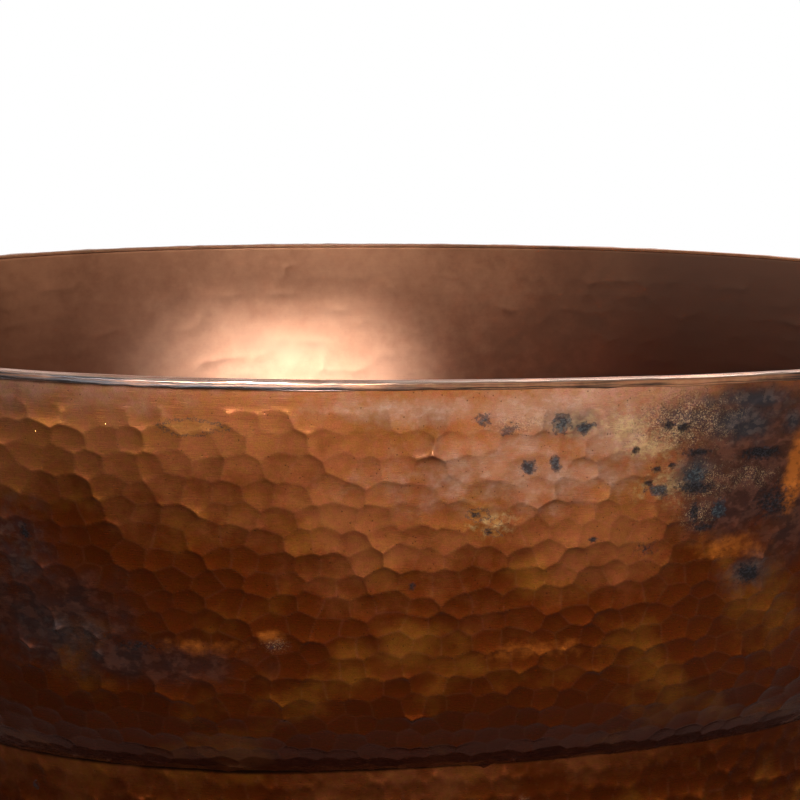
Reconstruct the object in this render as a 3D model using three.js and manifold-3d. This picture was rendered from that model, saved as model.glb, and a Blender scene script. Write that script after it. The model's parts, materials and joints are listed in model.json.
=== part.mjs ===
// A freestanding oval bathtub raised from hammered copper sheet. The shell is a single skin: two wall
// sheets, six sheets that turn in below them and a level floor, brazed edge to edge under a flat rim
// band. It stands on a flared copper plinth with a foot ring and three oak bearers. A brass waste and
// overflow hangs at the waste end, where a trip lever raises and lowers the stopper through a linkage rod
// and a rocker arm.
//
// Millimetres. +X runs along the tub from the waste end to the head end, +Y across it and +Z up. The
// origin lies on the floor under the middle of the bounding box, and the tub's own middle a little beyond
// it, clear of the waste.
import * as THREE from "three";
import { mergeVertices } from "three/addons/utils/BufferGeometryUtils.js";
import Module from "manifold-3d";

const wasm = await Module();
wasm.setup();

// ---- Driving dimensions --------------------------------------------------------------------------------

const GAP = 0.3; // between pieces that touch
const RUNNING = 0.5; // around pieces that slide or turn

// Shell
const RIM_LENGTH = 1524;
const RIM_WIDTH = 787;
const RIM_HEIGHT = 620; // top of the rim band above the floor
const FULLNESS = 2.3; // exponent of the superellipse in plan: 2 is an ellipse, more is fuller
const SHEET = 2.5; // copper sheet of the walls, the turn, the floor and the plinth
const RIM_BAND_WIDTH = 10;
const RIM_BAND_HEIGHT = 5;
const WALL_SLOPE = THREE.MathUtils.degToRad(5); // lean of the wall from the vertical
const SEAM_OFFSET = 70; // from the long axis to the seams at the tub's two ends
const TURN_SEAM = 400; // from the tub's middle to the seams across the turn
const TURN_TOP = 280; // where the wall meets the turn
const TURN_REACH = 138; // how far the turn carries the section inwards
const TURN_HANDLE = 0.55; // how round the turn is: the share of its height and reach that its handles take
const FLOOR_HEIGHT = 120; // underside of the floor sheet

// Plinth and bearers
const PLINTH_TOP_INSET = 112; // from the rim's outline to the plinth where it meets the turn
const PLINTH_FOOT_INSET = 90;
const FOOT_RING_WIDTH = 14;
const FOOT_RING_HEIGHT = 10;
const FOOT_RING_LEDGE = 4; // how far the ring stands out from the plinth's foot
const STRIP_HEIGHT = 3; // rubber under the foot ring and the bearers
const STRIP_INSET = 2; // from the edge of what stands on it
const BEARER_WIDTH = 70;
const BEARER_SPACING = 330;
const BEARER_MIDDLE = 100; // from the tub's middle to the middle bearer
const BEARER_END_GAP = 2;

// Waste pipework
const PIPE_RADIUS = 19; // outside of the drawn brass tube
const PIPE_WALL = 1.5;
const PIPE_HEIGHT = 72; // axis of the level waste tube
const SOCKET_WALL = 3.7;
const SOCKET_DEPTH = 22;
const FITTING_REACH = 45; // from a fitting's middle to the end of each socket
const NUT_WALL = 4; // over the socket, across the flats
const NUT_GRIP = 12; // length of socket that a nut covers
const NUT_LIP = 3;
const WASHER_HEIGHT = 3;
const TAIL_CLEARANCE = 10; // from the floor to the open end of the tailpiece
const GROMMET_WALL = 5;
const GROMMET_LENGTH = 14;

// Drain
const DRAIN_INSET = 280; // from the end of the rim to the drain
const DRAIN_BORE = 18;
const DRAIN_BARREL = 21; // outside of the flange's threaded barrel
const DRAIN_FLANGE = 35;
const DRAIN_FLANGE_HEIGHT = 3.2;
const DRAIN_GASKET = 1.5;
const DRAIN_BARREL_LENGTH = 30;
const SPIDER_WIDTH = 3; // spokes across the barrel that carry the stem's guide
const SPIDER_HEIGHT = 6;
const GUIDE_RADIUS = 7;
const SHOE_SEAL = 3;
const SHOE_WALL = 5;
const SHOE_LIP = 4;

// Overflow
const OVERFLOW_DROP = 120; // from the top of the rim to the overflow's centre
const OVERFLOW_HOLE = 27;
const MOUTH_BORE = 26;
const MOUTH_WALL = 4;
const HEAD_CORNER = 8;
const HEAD_DROP = 58; // from the overflow's centre to the end of the head's socket
const GASKET_WIDTH = 5;
const GASKET_LEAST = 2.5; // the wedge gasket's thickness at its thin side
const PLATE_RADIUS = 42;
const PLATE_THICKNESS = 6;
const PLATE_EDGE = 3.5;
const PLATE_FLAT = 33;
const WEIR_HOLE = 3.2;
const WEIR_HOLES = 5;
const WEIR_SPACING = THREE.MathUtils.degToRad(27);
const WEIR_RADIUS = 19; // circle on which the plate's water holes lie
const SCREW_RADIUS = 2;
const SCREW_HEAD = 4.2;
const SCREW_OFFSET = 20; // from the plate's centre
const LUG_DEPTH = 10;
const EAR_THICKNESS = 3;
const EAR_HEIGHT = 12;

// Trip lever, linkage and stopper
const LEVER_SWING = THREE.MathUtils.degToRad(40);
const LEVER_ARM = 35; // from the lever's pin to its crank pin
const LEVER_REACH = 46; // from the lever's pin to its knob
const LEVER_WIDTH = 4;
const LEVER_HEIGHT = 6;
const LEVER_HUB = 5;
const FORK_GAP = 6; // between the two cheeks of the lever's crank
const CHEEK = 3;
const KNOB_RADIUS = 7;
const PIN_SETBACK = 6; // from the wall's outer face to the lever's pin
const PIN_RADIUS = 1.8;
const CRANK_PIN_RADIUS = 2;
const EYE_WALL = 2.5;
const EYE_THICKNESS = 4;
const WIRE_RADIUS = 2.5; // linkage rod and rocker arm
const STRIKER_RADIUS = 8;
const STRIKER_LENGTH = 40;
const LINK_PLAY = 1; // between pieces that push on each other
const ROCKER_SADDLE = 3; // thickness of the foot on which the rocker arm rocks
const ROCKER_FOOT = 5;
const ROCKER_PAD = 6;
const STOPPER_LIFT = 12;
const STOPPER_RADIUS = 23;
const STOPPER_HEIGHT = 5.5;
const STOPPER_EDGE = 2;
const BOSS_RADIUS = 8;
const SEAL_HEIGHT = 4.2;
const STEM_RADIUS = 3;

// Facets
const OVAL_FACETS = 64;
const ROUND_FACETS = 20;
const SMALL_FACETS = 12;
const TURN_STEPS = 5;
const SKIRT_STEPS = 3;

// ---- Derived sizes -------------------------------------------------------------------------------------

const HALF_LENGTH = RIM_LENGTH / 2;
const HALF_WIDTH = RIM_WIDTH / 2;
const WALL_TOP = RIM_HEIGHT - RIM_BAND_HEIGHT - GAP;
const WALL_ACROSS = SHEET / Math.cos(WALL_SLOPE); // the leaning sheet's thickness on the level
const OVERHANG = RIM_BAND_WIDTH - WALL_ACROSS; // the band lies flush with the wall's inner face
const wallInset = (z) => OVERHANG + (WALL_TOP - z) * Math.tan(WALL_SLOPE);

const FLOOR_TOP = FLOOR_HEIGHT + SHEET;
const FOOT_RING_BOTTOM = STRIP_HEIGHT + GAP;
const FOOT_RING_TOP = FOOT_RING_BOTTOM + FOOT_RING_HEIGHT;
const FOOT_RING_OUTSIDE = PLINTH_FOOT_INSET - FOOT_RING_LEDGE;

const PIPE_BORE = PIPE_RADIUS - PIPE_WALL;
const SOCKET_BORE = PIPE_RADIUS + GAP;
const SOCKET_RADIUS = SOCKET_BORE + SOCKET_WALL;

const DRAIN_X = -HALF_LENGTH + DRAIN_INSET;
const FLANGE_BOTTOM = FLOOR_TOP + DRAIN_GASKET + 2 * GAP;
const FLANGE_TOP = FLANGE_BOTTOM + DRAIN_FLANGE_HEIGHT;
const BARREL_BOTTOM = FLANGE_TOP - DRAIN_BARREL_LENGTH;
const SHOE_TOP = FLOOR_HEIGHT - SHOE_SEAL - 2 * GAP;

// The lever's pin lies on the overflow plate's axis, which stands square on the leaning wall.
const OVERFLOW_Z = RIM_HEIGHT - OVERFLOW_DROP;
const WALL_X = -HALF_LENGTH + wallInset(OVERFLOW_Z); // the wall's outer face at the overflow
const PIN_X = WALL_X - PIN_SETBACK * Math.cos(WALL_SLOPE);
const PIN_Z = OVERFLOW_Z - PIN_SETBACK * Math.sin(WALL_SLOPE);
const CRANK_SWAY = (LEVER_ARM * (1 - Math.cos(LEVER_SWING / 2))) / 2; // of the crank pin to either side
const TUBE_X = PIN_X - LEVER_ARM + CRANK_SWAY; // axis of the overflow tube, under the crank pin
const MOUTH_RADIUS = MOUTH_BORE + MOUTH_WALL;
const GASKET_RADIUS = OVERFLOW_HOLE + GASKET_WIDTH;
const MOUTH_X = WALL_X - GASKET_RADIUS * Math.tan(WALL_SLOPE) - GASKET_LEAST;
const PLATE_FRONT = WALL_ACROSS + PLATE_THICKNESS; // along the plate's axis, from the wall's outer face
const FORK_WIDTH = FORK_GAP / 2 + CHEEK; // from the lever's middle to the outside of its fork
const EAR_INSIDE = FORK_WIDTH + RUNNING;
const EAR_OUTSIDE = EAR_INSIDE + EAR_THICKNESS;

// The lever's crank moves the linkage, which rocks the arm and so lifts the stopper: the arm's pivot
// divides the level tube in the ratio of the two travels.
const LINKAGE_TRAVEL = 2 * LEVER_ARM * Math.sin(LEVER_SWING / 2);
const ROCKER_LENGTH = DRAIN_X - TUBE_X;
const ROCKER_TO_STOPPER = (ROCKER_LENGTH * STOPPER_LIFT) / (STOPPER_LIFT + LINKAGE_TRAVEL);
const ROCKER_TO_LINKAGE = ROCKER_LENGTH - ROCKER_TO_STOPPER;
const ROCKER_SWING = STOPPER_LIFT / ROCKER_TO_STOPPER;

// ---- Solids --------------------------------------------------------------------------------------------

// The closed solid that a geometry bounds, whichever way its faces point.
function solid(geometry) {
  const bare = geometry.clone();
  for (const name of ["normal", "uv"]) bare.deleteAttribute(name);
  const merged = mergeVertices(bare, 1e-3);
  const vertProperties = new Float32Array(merged.attributes.position.array);
  const triVerts = new Uint32Array(merged.index.array);
  const made = new wasm.Manifold(new wasm.Mesh({ numProp: 3, vertProperties, triVerts }));
  if (made.volume() > 0) return made;
  const outward = triVerts.map((vertex, i) => triVerts[i - (i % 3) + ((3 - (i % 3)) % 3)]);
  return new wasm.Manifold(new wasm.Mesh({ numProp: 3, vertProperties, triVerts: outward }));
}

const joined = (...solids) => solids.reduce((a, b) => a.add(b));
const cut = (first, ...tools) => tools.reduce((a, b) => a.subtract(b), first);

// Stands a geometry's Z axis along the axis asked for, leans it back by an angle about Y, and moves it.
function placed(geometry, { at = [0, 0, 0], along = "z", lean = 0 } = {}) {
  if (along === "x") geometry.rotateY(Math.PI / 2);
  if (along === "y") geometry.rotateX(-Math.PI / 2);
  return solid(geometry.rotateY(-lean).translate(...at));
}

// Closed [radius, z] points turned about Z.
function turned(points, place, facets = ROUND_FACETS) {
  const profile = [...points, points[0]].map(([radius, z]) => new THREE.Vector2(radius, z));
  return placed(new THREE.LatheGeometry(profile, facets).rotateX(Math.PI / 2), place);
}

const rod = (radius, from, to, place, facets) =>
  turned([[0, from], [radius, from], [radius, to], [0, to]], place, facets);

const pipe = (inside, outside, from, to, place) =>
  turned([[inside, from], [outside, from], [outside, to], [inside, to]], place);

// A block between two opposite corners.
function block(low, high, place) {
  const size = high.map((value, i) => value - low[i]);
  const middle = high.map((value, i) => (value + low[i]) / 2);
  return placed(new THREE.BoxGeometry(...size).translate(...middle), place);
}

// A hexagonal prism about Z, measured across its flats.
const hexagon = (flats, from, to) => rod(flats / 2 / Math.cos(Math.PI / 6), from, to, {}, 6);

// A flat bar about Z with round ends, from one X to another.
const slot = (radius, fromX, toX, from, to, place) =>
  placed(
    new THREE.ExtrudeGeometry(
      new THREE.Shape()
        .absarc(toX, 0, radius, -Math.PI / 2, Math.PI / 2)
        .absarc(fromX, 0, radius, Math.PI / 2, (3 * Math.PI) / 2),
      { depth: to - from, bevelEnabled: false, curveSegments: SMALL_FACETS / 2 },
    ).translate(0, 0, from),
    place,
  );

function mesh(name, whole, material) {
  const { vertProperties, triVerts, numProp } = whole.getMesh();
  const places = new Float32Array(triVerts.length * 3);
  triVerts.forEach((v, i) => places.set(vertProperties.subarray(v * numProp, v * numProp + 3), i * 3));
  const geometry = new THREE.BufferGeometry();
  geometry.setAttribute("position", new THREE.BufferAttribute(places, 3));
  geometry.computeVertexNormals();
  const made = new THREE.Mesh(geometry, material);
  made.name = name;
  return made;
}

function group(children, at = [0, 0, 0], turn = 0) {
  const made = new THREE.Group().add(...children);
  made.position.set(...at);
  made.rotation.y = turn;
  return made;
}

const finish = (color, roughness, metalness) => () =>
  new THREE.MeshStandardMaterial({ color, roughness, metalness });
const copper = finish(0x96593a, 0.38, 1);
const brass = finish(0xa48a52, 0.3, 1);
const rubber = finish(0x1d1c1b, 0.85, 0);
const oak = finish(0x9a7446, 0.75, 0);

// ---- The oval ------------------------------------------------------------------------------------------

// Half the width at x of the superellipse that lies an inset inside the rim's outline.
const halfWidthAt = (inset, x) =>
  (HALF_WIDTH - inset) * (1 - (Math.abs(x) / (HALF_LENGTH - inset)) ** FULLNESS) ** (1 / FULLNESS);

// Carries [inset, z] points round the tub's plan. The inset is measured inwards from the rim's outline,
// and an inset of half the width is the spine that the outline shrinks to, where an open row of points
// starts and ends.
function oval(points) {
  const CORE = 1; // holds the spine's points apart while they are turned
  const closed = points[0][0] < HALF_WIDTH ? [...points, points[0]] : points;
  const profile = closed.map(([inset, z]) => new THREE.Vector2(HALF_WIDTH - inset + CORE, z));
  const geometry = new THREE.LatheGeometry(profile, OVAL_FACETS).rotateX(Math.PI / 2);
  const place = geometry.attributes.position;
  const bulge = (share) => Math.sign(share) * Math.abs(share) ** (2 / FULLNESS);
  for (let i = 0; i < place.count; i++) {
    const radius = Math.hypot(place.getX(i), place.getY(i));
    const half = radius - CORE;
    place.setX(i, (half + HALF_LENGTH - HALF_WIDTH) * bulge(place.getX(i) / radius));
    place.setY(i, half * bulge(place.getY(i) / radius));
  }
  return solid(geometry);
}

// A ring of rectangular section.
const hoop = (outside, width, from, to) =>
  oval([[outside, from], [outside, to], [outside + width, to], [outside + width, from]]);

// Points along a curve that runs down the tub's section, moved inwards through the sheet by a depth.
function line(curve, steps, depth, start = 0) {
  return Array.from({ length: steps + 1 }, (_, i) => {
    const share = start + ((1 - start) * i) / steps;
    const point = curve.getPoint(share);
    const along = curve.getTangent(share);
    return [point.x - along.y * depth, point.y + along.x * depth];
  });
}

const TURN_EDGE = wallInset(TURN_TOP) + TURN_REACH; // inset of the turn's lower edge
const turnHeight = TURN_HANDLE * (TURN_TOP - FLOOR_HEIGHT);
const turnCurve = new THREE.CubicBezierCurve(
  new THREE.Vector2(wallInset(TURN_TOP), TURN_TOP),
  new THREE.Vector2(wallInset(TURN_TOP - turnHeight), TURN_TOP - turnHeight),
  new THREE.Vector2(TURN_EDGE - TURN_HANDLE * TURN_REACH, FLOOR_HEIGHT),
  new THREE.Vector2(TURN_EDGE, FLOOR_HEIGHT),
);
const turnStart = GAP / (3 * turnHeight); // leaves the gap under the wall's edge

// How high a piece under the turn can stand at an inset, a gap short of the shell.
function undersideAt(inset) {
  const points = line(turnCurve, TURN_STEPS, -GAP);
  const after = points.findIndex((point) => point[0] > inset);
  const [above, below] = [points[after - 1], points[after]];
  return above[1] + ((below[1] - above[1]) * (inset - above[0])) / (below[0] - above[0]);
}

// What lies outside the wall's inner face, or inside its outer one, for seating pieces against it.
const REACH = 60;
const beyondWall = oval([
  [wallInset(TURN_TOP) + WALL_ACROSS + GAP, TURN_TOP],
  [wallInset(WALL_TOP) + WALL_ACROSS + GAP, WALL_TOP],
  [wallInset(WALL_TOP) - REACH, WALL_TOP],
  [wallInset(TURN_TOP) - REACH, TURN_TOP],
]);
const withinWall = oval([
  [wallInset(TURN_TOP) - GAP, TURN_TOP],
  [wallInset(WALL_TOP) - GAP, WALL_TOP],
  [wallInset(WALL_TOP) + REACH, WALL_TOP],
  [wallInset(TURN_TOP) + REACH, TURN_TOP],
]);

// The overflow plate's axis: X runs square through the wall into the tub.
const plateAxis = { at: [WALL_X, 0, OVERFLOW_Z], along: "x", lean: WALL_SLOPE };
const plateFrame = { at: [WALL_X, 0, OVERFLOW_Z], lean: WALL_SLOPE };
const mouthAxis = { at: [0, 0, OVERFLOW_Z], along: "x" };
const pinAxis = { at: [PIN_X, 0, PIN_Z], along: "y" };

// ---- Shell ---------------------------------------------------------------------------------------------

const BEYOND = RIM_LENGTH + RIM_WIDTH;
const between = (low, high) => block([low[0], low[1], -BEYOND], [high[0], high[1], BEYOND]);

// Parts a ring of sheet at the seams at the tub's two ends, into its front and its back.
const atEndSeams = (ring) => [
  cut(ring, between([-BEYOND, SEAM_OFFSET - GAP / 2], [BEYOND, BEYOND])),
  cut(ring, between([-BEYOND, -BEYOND], [BEYOND, SEAM_OFFSET + GAP / 2])),
];

function wallSheets() {
  const edge = [Math.cos(WALL_SLOPE) * SHEET, Math.sin(WALL_SLOPE) * SHEET];
  const walls = cut(
    oval([
      [OVERHANG, WALL_TOP],
      [wallInset(TURN_TOP), TURN_TOP],
      [wallInset(TURN_TOP) + edge[0], TURN_TOP + edge[1]],
      [OVERHANG + WALL_ACROSS, WALL_TOP],
    ]),
    rod(OVERFLOW_HOLE, -REACH, REACH, plateAxis),
  );
  const [front, back] = atEndSeams(walls);
  return [mesh("front_wall_sheet", front, copper()), mesh("back_wall_sheet", back, copper())];
}

// The turn is beaten in six sheets: a long one and two corners at the front, and the same at the back.
function turnSheets() {
  const turn = oval([
    ...line(turnCurve, TURN_STEPS, 0, turnStart),
    ...line(turnCurve, TURN_STEPS, SHEET, turnStart).reverse(),
  ]);
  const seam = TURN_SEAM - GAP / 2;
  const head = between([seam, -BEYOND], [BEYOND, BEYOND]);
  const notHead = between([-BEYOND, -BEYOND], [seam + GAP, BEYOND]);
  const waste = between([-BEYOND, -BEYOND], [-seam, BEYOND]);
  const notWaste = between([-seam - GAP, -BEYOND], [BEYOND, BEYOND]);
  return atEndSeams(turn).flatMap((half, i) => {
    const side = ["front", "back"][i];
    return [
      mesh(`turn_${side}_waste_end`, cut(half, notWaste), copper()),
      mesh(`turn_${side}_middle`, cut(half, waste, head), copper()),
      mesh(`turn_${side}_head_end`, cut(half, notHead), copper()),
    ];
  });
}

function floorSheet() {
  const floor = oval([
    [HALF_WIDTH, FLOOR_HEIGHT],
    [TURN_EDGE + GAP, FLOOR_HEIGHT],
    [TURN_EDGE + GAP, FLOOR_TOP],
    [HALF_WIDTH, FLOOR_TOP],
  ]);
  const hole = rod(DRAIN_BARREL + 1, 0, FLOOR_TOP + 1, { at: [DRAIN_X, 0, 0] });
  return mesh("floor_sheet", cut(floor, hole), copper());
}

function rimBand() {
  return mesh("rim_band", hoop(0, RIM_BAND_WIDTH, RIM_HEIGHT - RIM_BAND_HEIGHT, RIM_HEIGHT), copper());
}

// ---- Plinth --------------------------------------------------------------------------------------------

const skirtCurve = new THREE.QuadraticBezierCurve(
  new THREE.Vector2(PLINTH_TOP_INSET, undersideAt(PLINTH_TOP_INSET)),
  new THREE.Vector2(PLINTH_TOP_INSET, (FLOOR_HEIGHT + FOOT_RING_TOP) / 2),
  new THREE.Vector2(PLINTH_FOOT_INSET, FOOT_RING_TOP + GAP),
);
const PIPE_HOLE = PIPE_RADIUS + GROMMET_WALL;
const alongPipe = { at: [0, 0, PIPE_HEIGHT], along: "x" };

// The plinth's skirt, thickened by a margin on both faces and in its pipe hole.
function skirt(margin) {
  const outside = skirtCurve.getPoints(SKIRT_STEPS).map((point) => [point.x - margin, point.y]);
  const inside = outside.map(([inset, z]) => [inset + SHEET + 2 * margin, z]).reverse();
  inside.at(-1)[1] = undersideAt(inside.at(-1)[0]);
  return cut(oval([...outside, ...inside]), rod(PIPE_HOLE - margin, -HALF_LENGTH, DRAIN_X, alongPipe));
}

function plinth() {
  const strip = [FOOT_RING_OUTSIDE + STRIP_INSET, FOOT_RING_WIDTH - 2 * STRIP_INSET];
  const skirtX = -HALF_LENGTH + PLINTH_TOP_INSET;
  const grommet = cut(
    pipe(SOCKET_BORE, PIPE_HOLE + GROMMET_WALL, -GROMMET_LENGTH / 2, GROMMET_LENGTH / 2, {
      at: [skirtX, 0, PIPE_HEIGHT],
      along: "x",
    }),
    skirt(GAP),
  );
  const [front, back] = atEndSeams(skirt(0));
  return [
    mesh("plinth_front", front, copper()),
    mesh("plinth_back", back, copper()),
    mesh("foot_ring", hoop(FOOT_RING_OUTSIDE, FOOT_RING_WIDTH, FOOT_RING_BOTTOM, FOOT_RING_TOP), copper()),
    mesh("foot_strip", hoop(...strip, 0, STRIP_HEIGHT), rubber()),
    mesh("plinth_grommet", grommet, rubber()),
  ];
}

function bearers() {
  return [-1, 0, 1].map((place, i) => {
    const x = BEARER_MIDDLE + place * BEARER_SPACING;
    const half = BEARER_WIDTH / 2;
    const reach = halfWidthAt(PLINTH_TOP_INSET + SHEET + BEARER_END_GAP, Math.abs(x) + half);
    const beam = block([-half, -reach, STRIP_HEIGHT + GAP], [half, reach, FLOOR_HEIGHT - GAP]);
    const [padHalf, padReach] = [half - STRIP_INSET, reach - STRIP_INSET];
    const pad = block([-padHalf, -padReach, 0], [padHalf, padReach, STRIP_HEIGHT]);
    const pieces = [mesh(`bearer_${i + 1}`, beam, oak()), mesh(`bearer_pad_${i + 1}`, pad, rubber())];
    return group(pieces, [x, 0, 0]);
  });
}

// ---- Waste pipework ------------------------------------------------------------------------------------

// A slip nut and its washer on the end of a socket, which faces +Z.
function slipJoint(name, at, turn) {
  const lip = GAP + WASHER_HEIGHT + GAP;
  const nut = cut(
    hexagon(2 * (SOCKET_RADIUS + NUT_WALL), -NUT_GRIP, lip + NUT_LIP),
    rod(SOCKET_RADIUS + GAP, -NUT_GRIP - 1, lip),
    rod(SOCKET_BORE, lip - 1, lip + NUT_LIP + 1),
  );
  const washer = pipe(SOCKET_BORE, SOCKET_RADIUS, GAP, GAP + WASHER_HEIGHT);
  return group([mesh(`${name}_nut`, nut, brass()), mesh(`${name}_washer`, washer, rubber())], at, turn);
}

// A fitting's bore along Z from one place to the end of its socket.
const socket = (from, end, place) =>
  joined(
    rod(PIPE_BORE, from, end, place),
    rod(SOCKET_BORE, end - Math.sign(end - from) * SOCKET_DEPTH, end + Math.sign(end - from), place),
  );

function wasteTee() {
  const end = FITTING_REACH;
  const level = { along: "x" };
  const tee = cut(
    joined(rod(SOCKET_RADIUS, -end, end), rod(SOCKET_RADIUS, 0, end, level)),
    socket(-1, end),
    socket(1, -end),
    socket(0, end, level),
  );
  return group(
    [
      mesh("waste_tee", tee, brass()),
      slipJoint("tee_top", [0, 0, end], 0),
      slipJoint("tee_side", [end, 0, 0], Math.PI / 2),
      slipJoint("tee_bottom", [0, 0, -end], Math.PI),
    ],
    [TUBE_X, 0, PIPE_HEIGHT],
  );
}

function drawnTubes() {
  const into = FITTING_REACH - SOCKET_DEPTH + GAP;
  const headSocket = OVERFLOW_Z - HEAD_DROP + SOCKET_DEPTH - GAP;
  const tube = (from, to, place) => pipe(PIPE_BORE, PIPE_RADIUS, from, to, place);
  return [
    mesh("overflow_tube", tube(PIPE_HEIGHT + into, headSocket, { at: [TUBE_X, 0, 0] }), brass()),
    mesh("waste_tube", tube(TUBE_X + into, DRAIN_X - into, alongPipe), brass()),
    mesh("tailpiece", tube(TAIL_CLEARANCE, PIPE_HEIGHT - into, { at: [TUBE_X, 0, 0] }), brass()),
  ];
}

// ---- Drain ---------------------------------------------------------------------------------------------

function drain() {
  const shoeRadius = DRAIN_BARREL + SHOE_WALL;
  const shoe = cut(
    joined(
      rod(shoeRadius, PIPE_HEIGHT - SOCKET_RADIUS, SHOE_TOP),
      rod(DRAIN_FLANGE, SHOE_TOP - SHOE_LIP, SHOE_TOP),
      rod(SOCKET_RADIUS, -FITTING_REACH, 0, alongPipe),
    ),
    rod(PIPE_BORE, PIPE_HEIGHT - PIPE_BORE, SHOE_TOP),
    rod(DRAIN_BARREL + GAP, BARREL_BOTTOM - GAP, SHOE_TOP + 1),
    socket(0, -FITTING_REACH, alongPipe),
  );
  const [long, wide] = [DRAIN_BORE + 1, SPIDER_WIDTH / 2];
  const spoke = (x, y) => block([-x, -y, BARREL_BOTTOM], [x, y, BARREL_BOTTOM + SPIDER_HEIGHT]);
  const flange = cut(
    joined(
      pipe(DRAIN_BORE, DRAIN_BARREL, BARREL_BOTTOM, FLANGE_TOP),
      turned([
        [DRAIN_BORE, FLANGE_BOTTOM],
        [DRAIN_FLANGE, FLANGE_BOTTOM],
        [DRAIN_FLANGE, FLANGE_BOTTOM + DRAIN_FLANGE_HEIGHT / 3],
        [DRAIN_FLANGE - DRAIN_FLANGE_HEIGHT, FLANGE_TOP],
        [DRAIN_BORE, FLANGE_TOP],
      ]),
      rod(GUIDE_RADIUS, BARREL_BOTTOM, BARREL_BOTTOM + SPIDER_HEIGHT),
      spoke(long, wide),
      spoke(wide, long),
    ),
    rod(STEM_RADIUS + RUNNING, BARREL_BOTTOM - 1, BARREL_BOTTOM + SPIDER_HEIGHT + 1),
  );
  const ring = (from, height) => pipe(DRAIN_BARREL + GAP, DRAIN_FLANGE - STRIP_INSET, from, from + height);
  return group(
    [
      mesh("drain_shoe", shoe, brass()),
      mesh("drain_flange", flange, brass()),
      mesh("drain_gasket", ring(FLOOR_TOP + GAP, DRAIN_GASKET), rubber()),
      mesh("shoe_seal", ring(SHOE_TOP + GAP, SHOE_SEAL), rubber()),
      slipJoint("shoe", [-FITTING_REACH, 0, PIPE_HEIGHT], -Math.PI / 2),
    ],
    [DRAIN_X, 0, 0],
  );
}

// ---- Overflow ------------------------------------------------------------------------------------------

const SIDES = [-1, 1];

// A block that runs from one Y to another on the side asked for.
function sideBlock(side, [fromX, toX], [fromY, toY], [fromZ, toZ], place) {
  const [low, high] = side > 0 ? [fromY, toY] : [-toY, -fromY];
  return block([fromX, low, fromZ], [toX, high, toZ], place);
}

// A screw's own axis, which runs into the tub on one side of the plate's axis.
const screwAxis = (side) => ({ ...plateAxis, at: [WALL_X, side * SCREW_OFFSET, OVERFLOW_Z] });
const screwHole = (side) => rod(SCREW_RADIUS + GAP, -REACH, REACH, screwAxis(side));

// An elbow with a level mouth against the wall, two lugs in it for the plate's screws, and a socket below.
function overflowHead() {
  const back = TUBE_X - SOCKET_RADIUS;
  const down = { at: [TUBE_X, 0, OVERFLOW_Z] };
  const barrel = [
    [0, back],
    [MOUTH_RADIUS - HEAD_CORNER, back],
    [MOUTH_RADIUS, back + HEAD_CORNER],
    [MOUTH_RADIUS, MOUTH_X],
    [0, MOUTH_X],
  ];
  const casing = cut(
    joined(turned(barrel, mouthAxis), rod(SOCKET_RADIUS, -HEAD_DROP, 0, down)),
    rod(MOUTH_BORE, back + SOCKET_WALL, MOUTH_X + 1, mouthAxis),
    socket(0, -HEAD_DROP, down),
  );
  const lugY = [SCREW_OFFSET - 2 * SCREW_RADIUS, MOUTH_BORE + 1];
  const lugZ = [OVERFLOW_Z - 2 * SCREW_RADIUS, OVERFLOW_Z + 2 * SCREW_RADIUS];
  const lugs = SIDES.map((side) => sideBlock(side, [MOUTH_X - LUG_DEPTH, MOUTH_X], lugY, lugZ));
  return mesh("overflow_head", cut(joined(casing, ...lugs), ...SIDES.map(screwHole)), brass());
}

// A wedge between the head's upright mouth and the leaning wall.
function overflowGasket() {
  const ring = pipe(OVERFLOW_HOLE, GASKET_RADIUS, MOUTH_X + GAP, WALL_X + REACH / 2, mouthAxis);
  return mesh("overflow_gasket", cut(ring, withinWall), rubber());
}

// The cover plate inside the tub, its back trimmed to the wall. Two ears behind it carry the lever's pin.
function overflowPlate() {
  const disc = cut(
    turned(
      [
        [0, -REACH / 2],
        [PLATE_RADIUS, -REACH / 2],
        [PLATE_RADIUS, WALL_ACROSS + PLATE_EDGE],
        [PLATE_FLAT, PLATE_FRONT],
        [0, PLATE_FRONT],
      ],
      plateAxis,
    ),
    beyondWall,
  );
  const earX = [-PIN_SETBACK - EAR_HEIGHT / 2, PLATE_FRONT - 1];
  const earZ = [-EAR_HEIGHT / 2, EAR_HEIGHT / 2];
  const ears = SIDES.map((side) => sideBlock(side, earX, [EAR_INSIDE, EAR_OUTSIDE], earZ, plateFrame));

  const swingHalf = LEVER_SWING / 2;
  const slotHalf =
    (PLATE_FRONT + PIN_SETBACK) * Math.tan(swingHalf) + LEVER_HEIGHT / 2 / Math.cos(swingHalf) + RUNNING;
  const slotWidth = LEVER_WIDTH / 2 + RUNNING;
  const leverSlot = block([0, -slotWidth, -slotHalf], [REACH, slotWidth, slotHalf], plateFrame);

  const weirHoles = Array.from({ length: WEIR_HOLES }, (_, i) => {
    const angle = 1.5 * Math.PI + WEIR_SPACING * (i - (WEIR_HOLES - 1) / 2);
    const [across, up] = [WEIR_RADIUS * Math.cos(angle), WEIR_RADIUS * Math.sin(angle)];
    const at = [WALL_X - up * Math.sin(WALL_SLOPE), across, OVERFLOW_Z + up * Math.cos(WALL_SLOPE)];
    return rod(WEIR_HOLE, -REACH, REACH, { ...plateAxis, at }, SMALL_FACETS);
  });
  const pinHole = rod(PIN_RADIUS + GAP, -REACH, REACH, pinAxis);
  const plate = cut(joined(disc, ...ears), leverSlot, pinHole, ...weirHoles, ...SIDES.map(screwHole));
  return mesh("overflow_plate", plate, brass());
}

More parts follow.
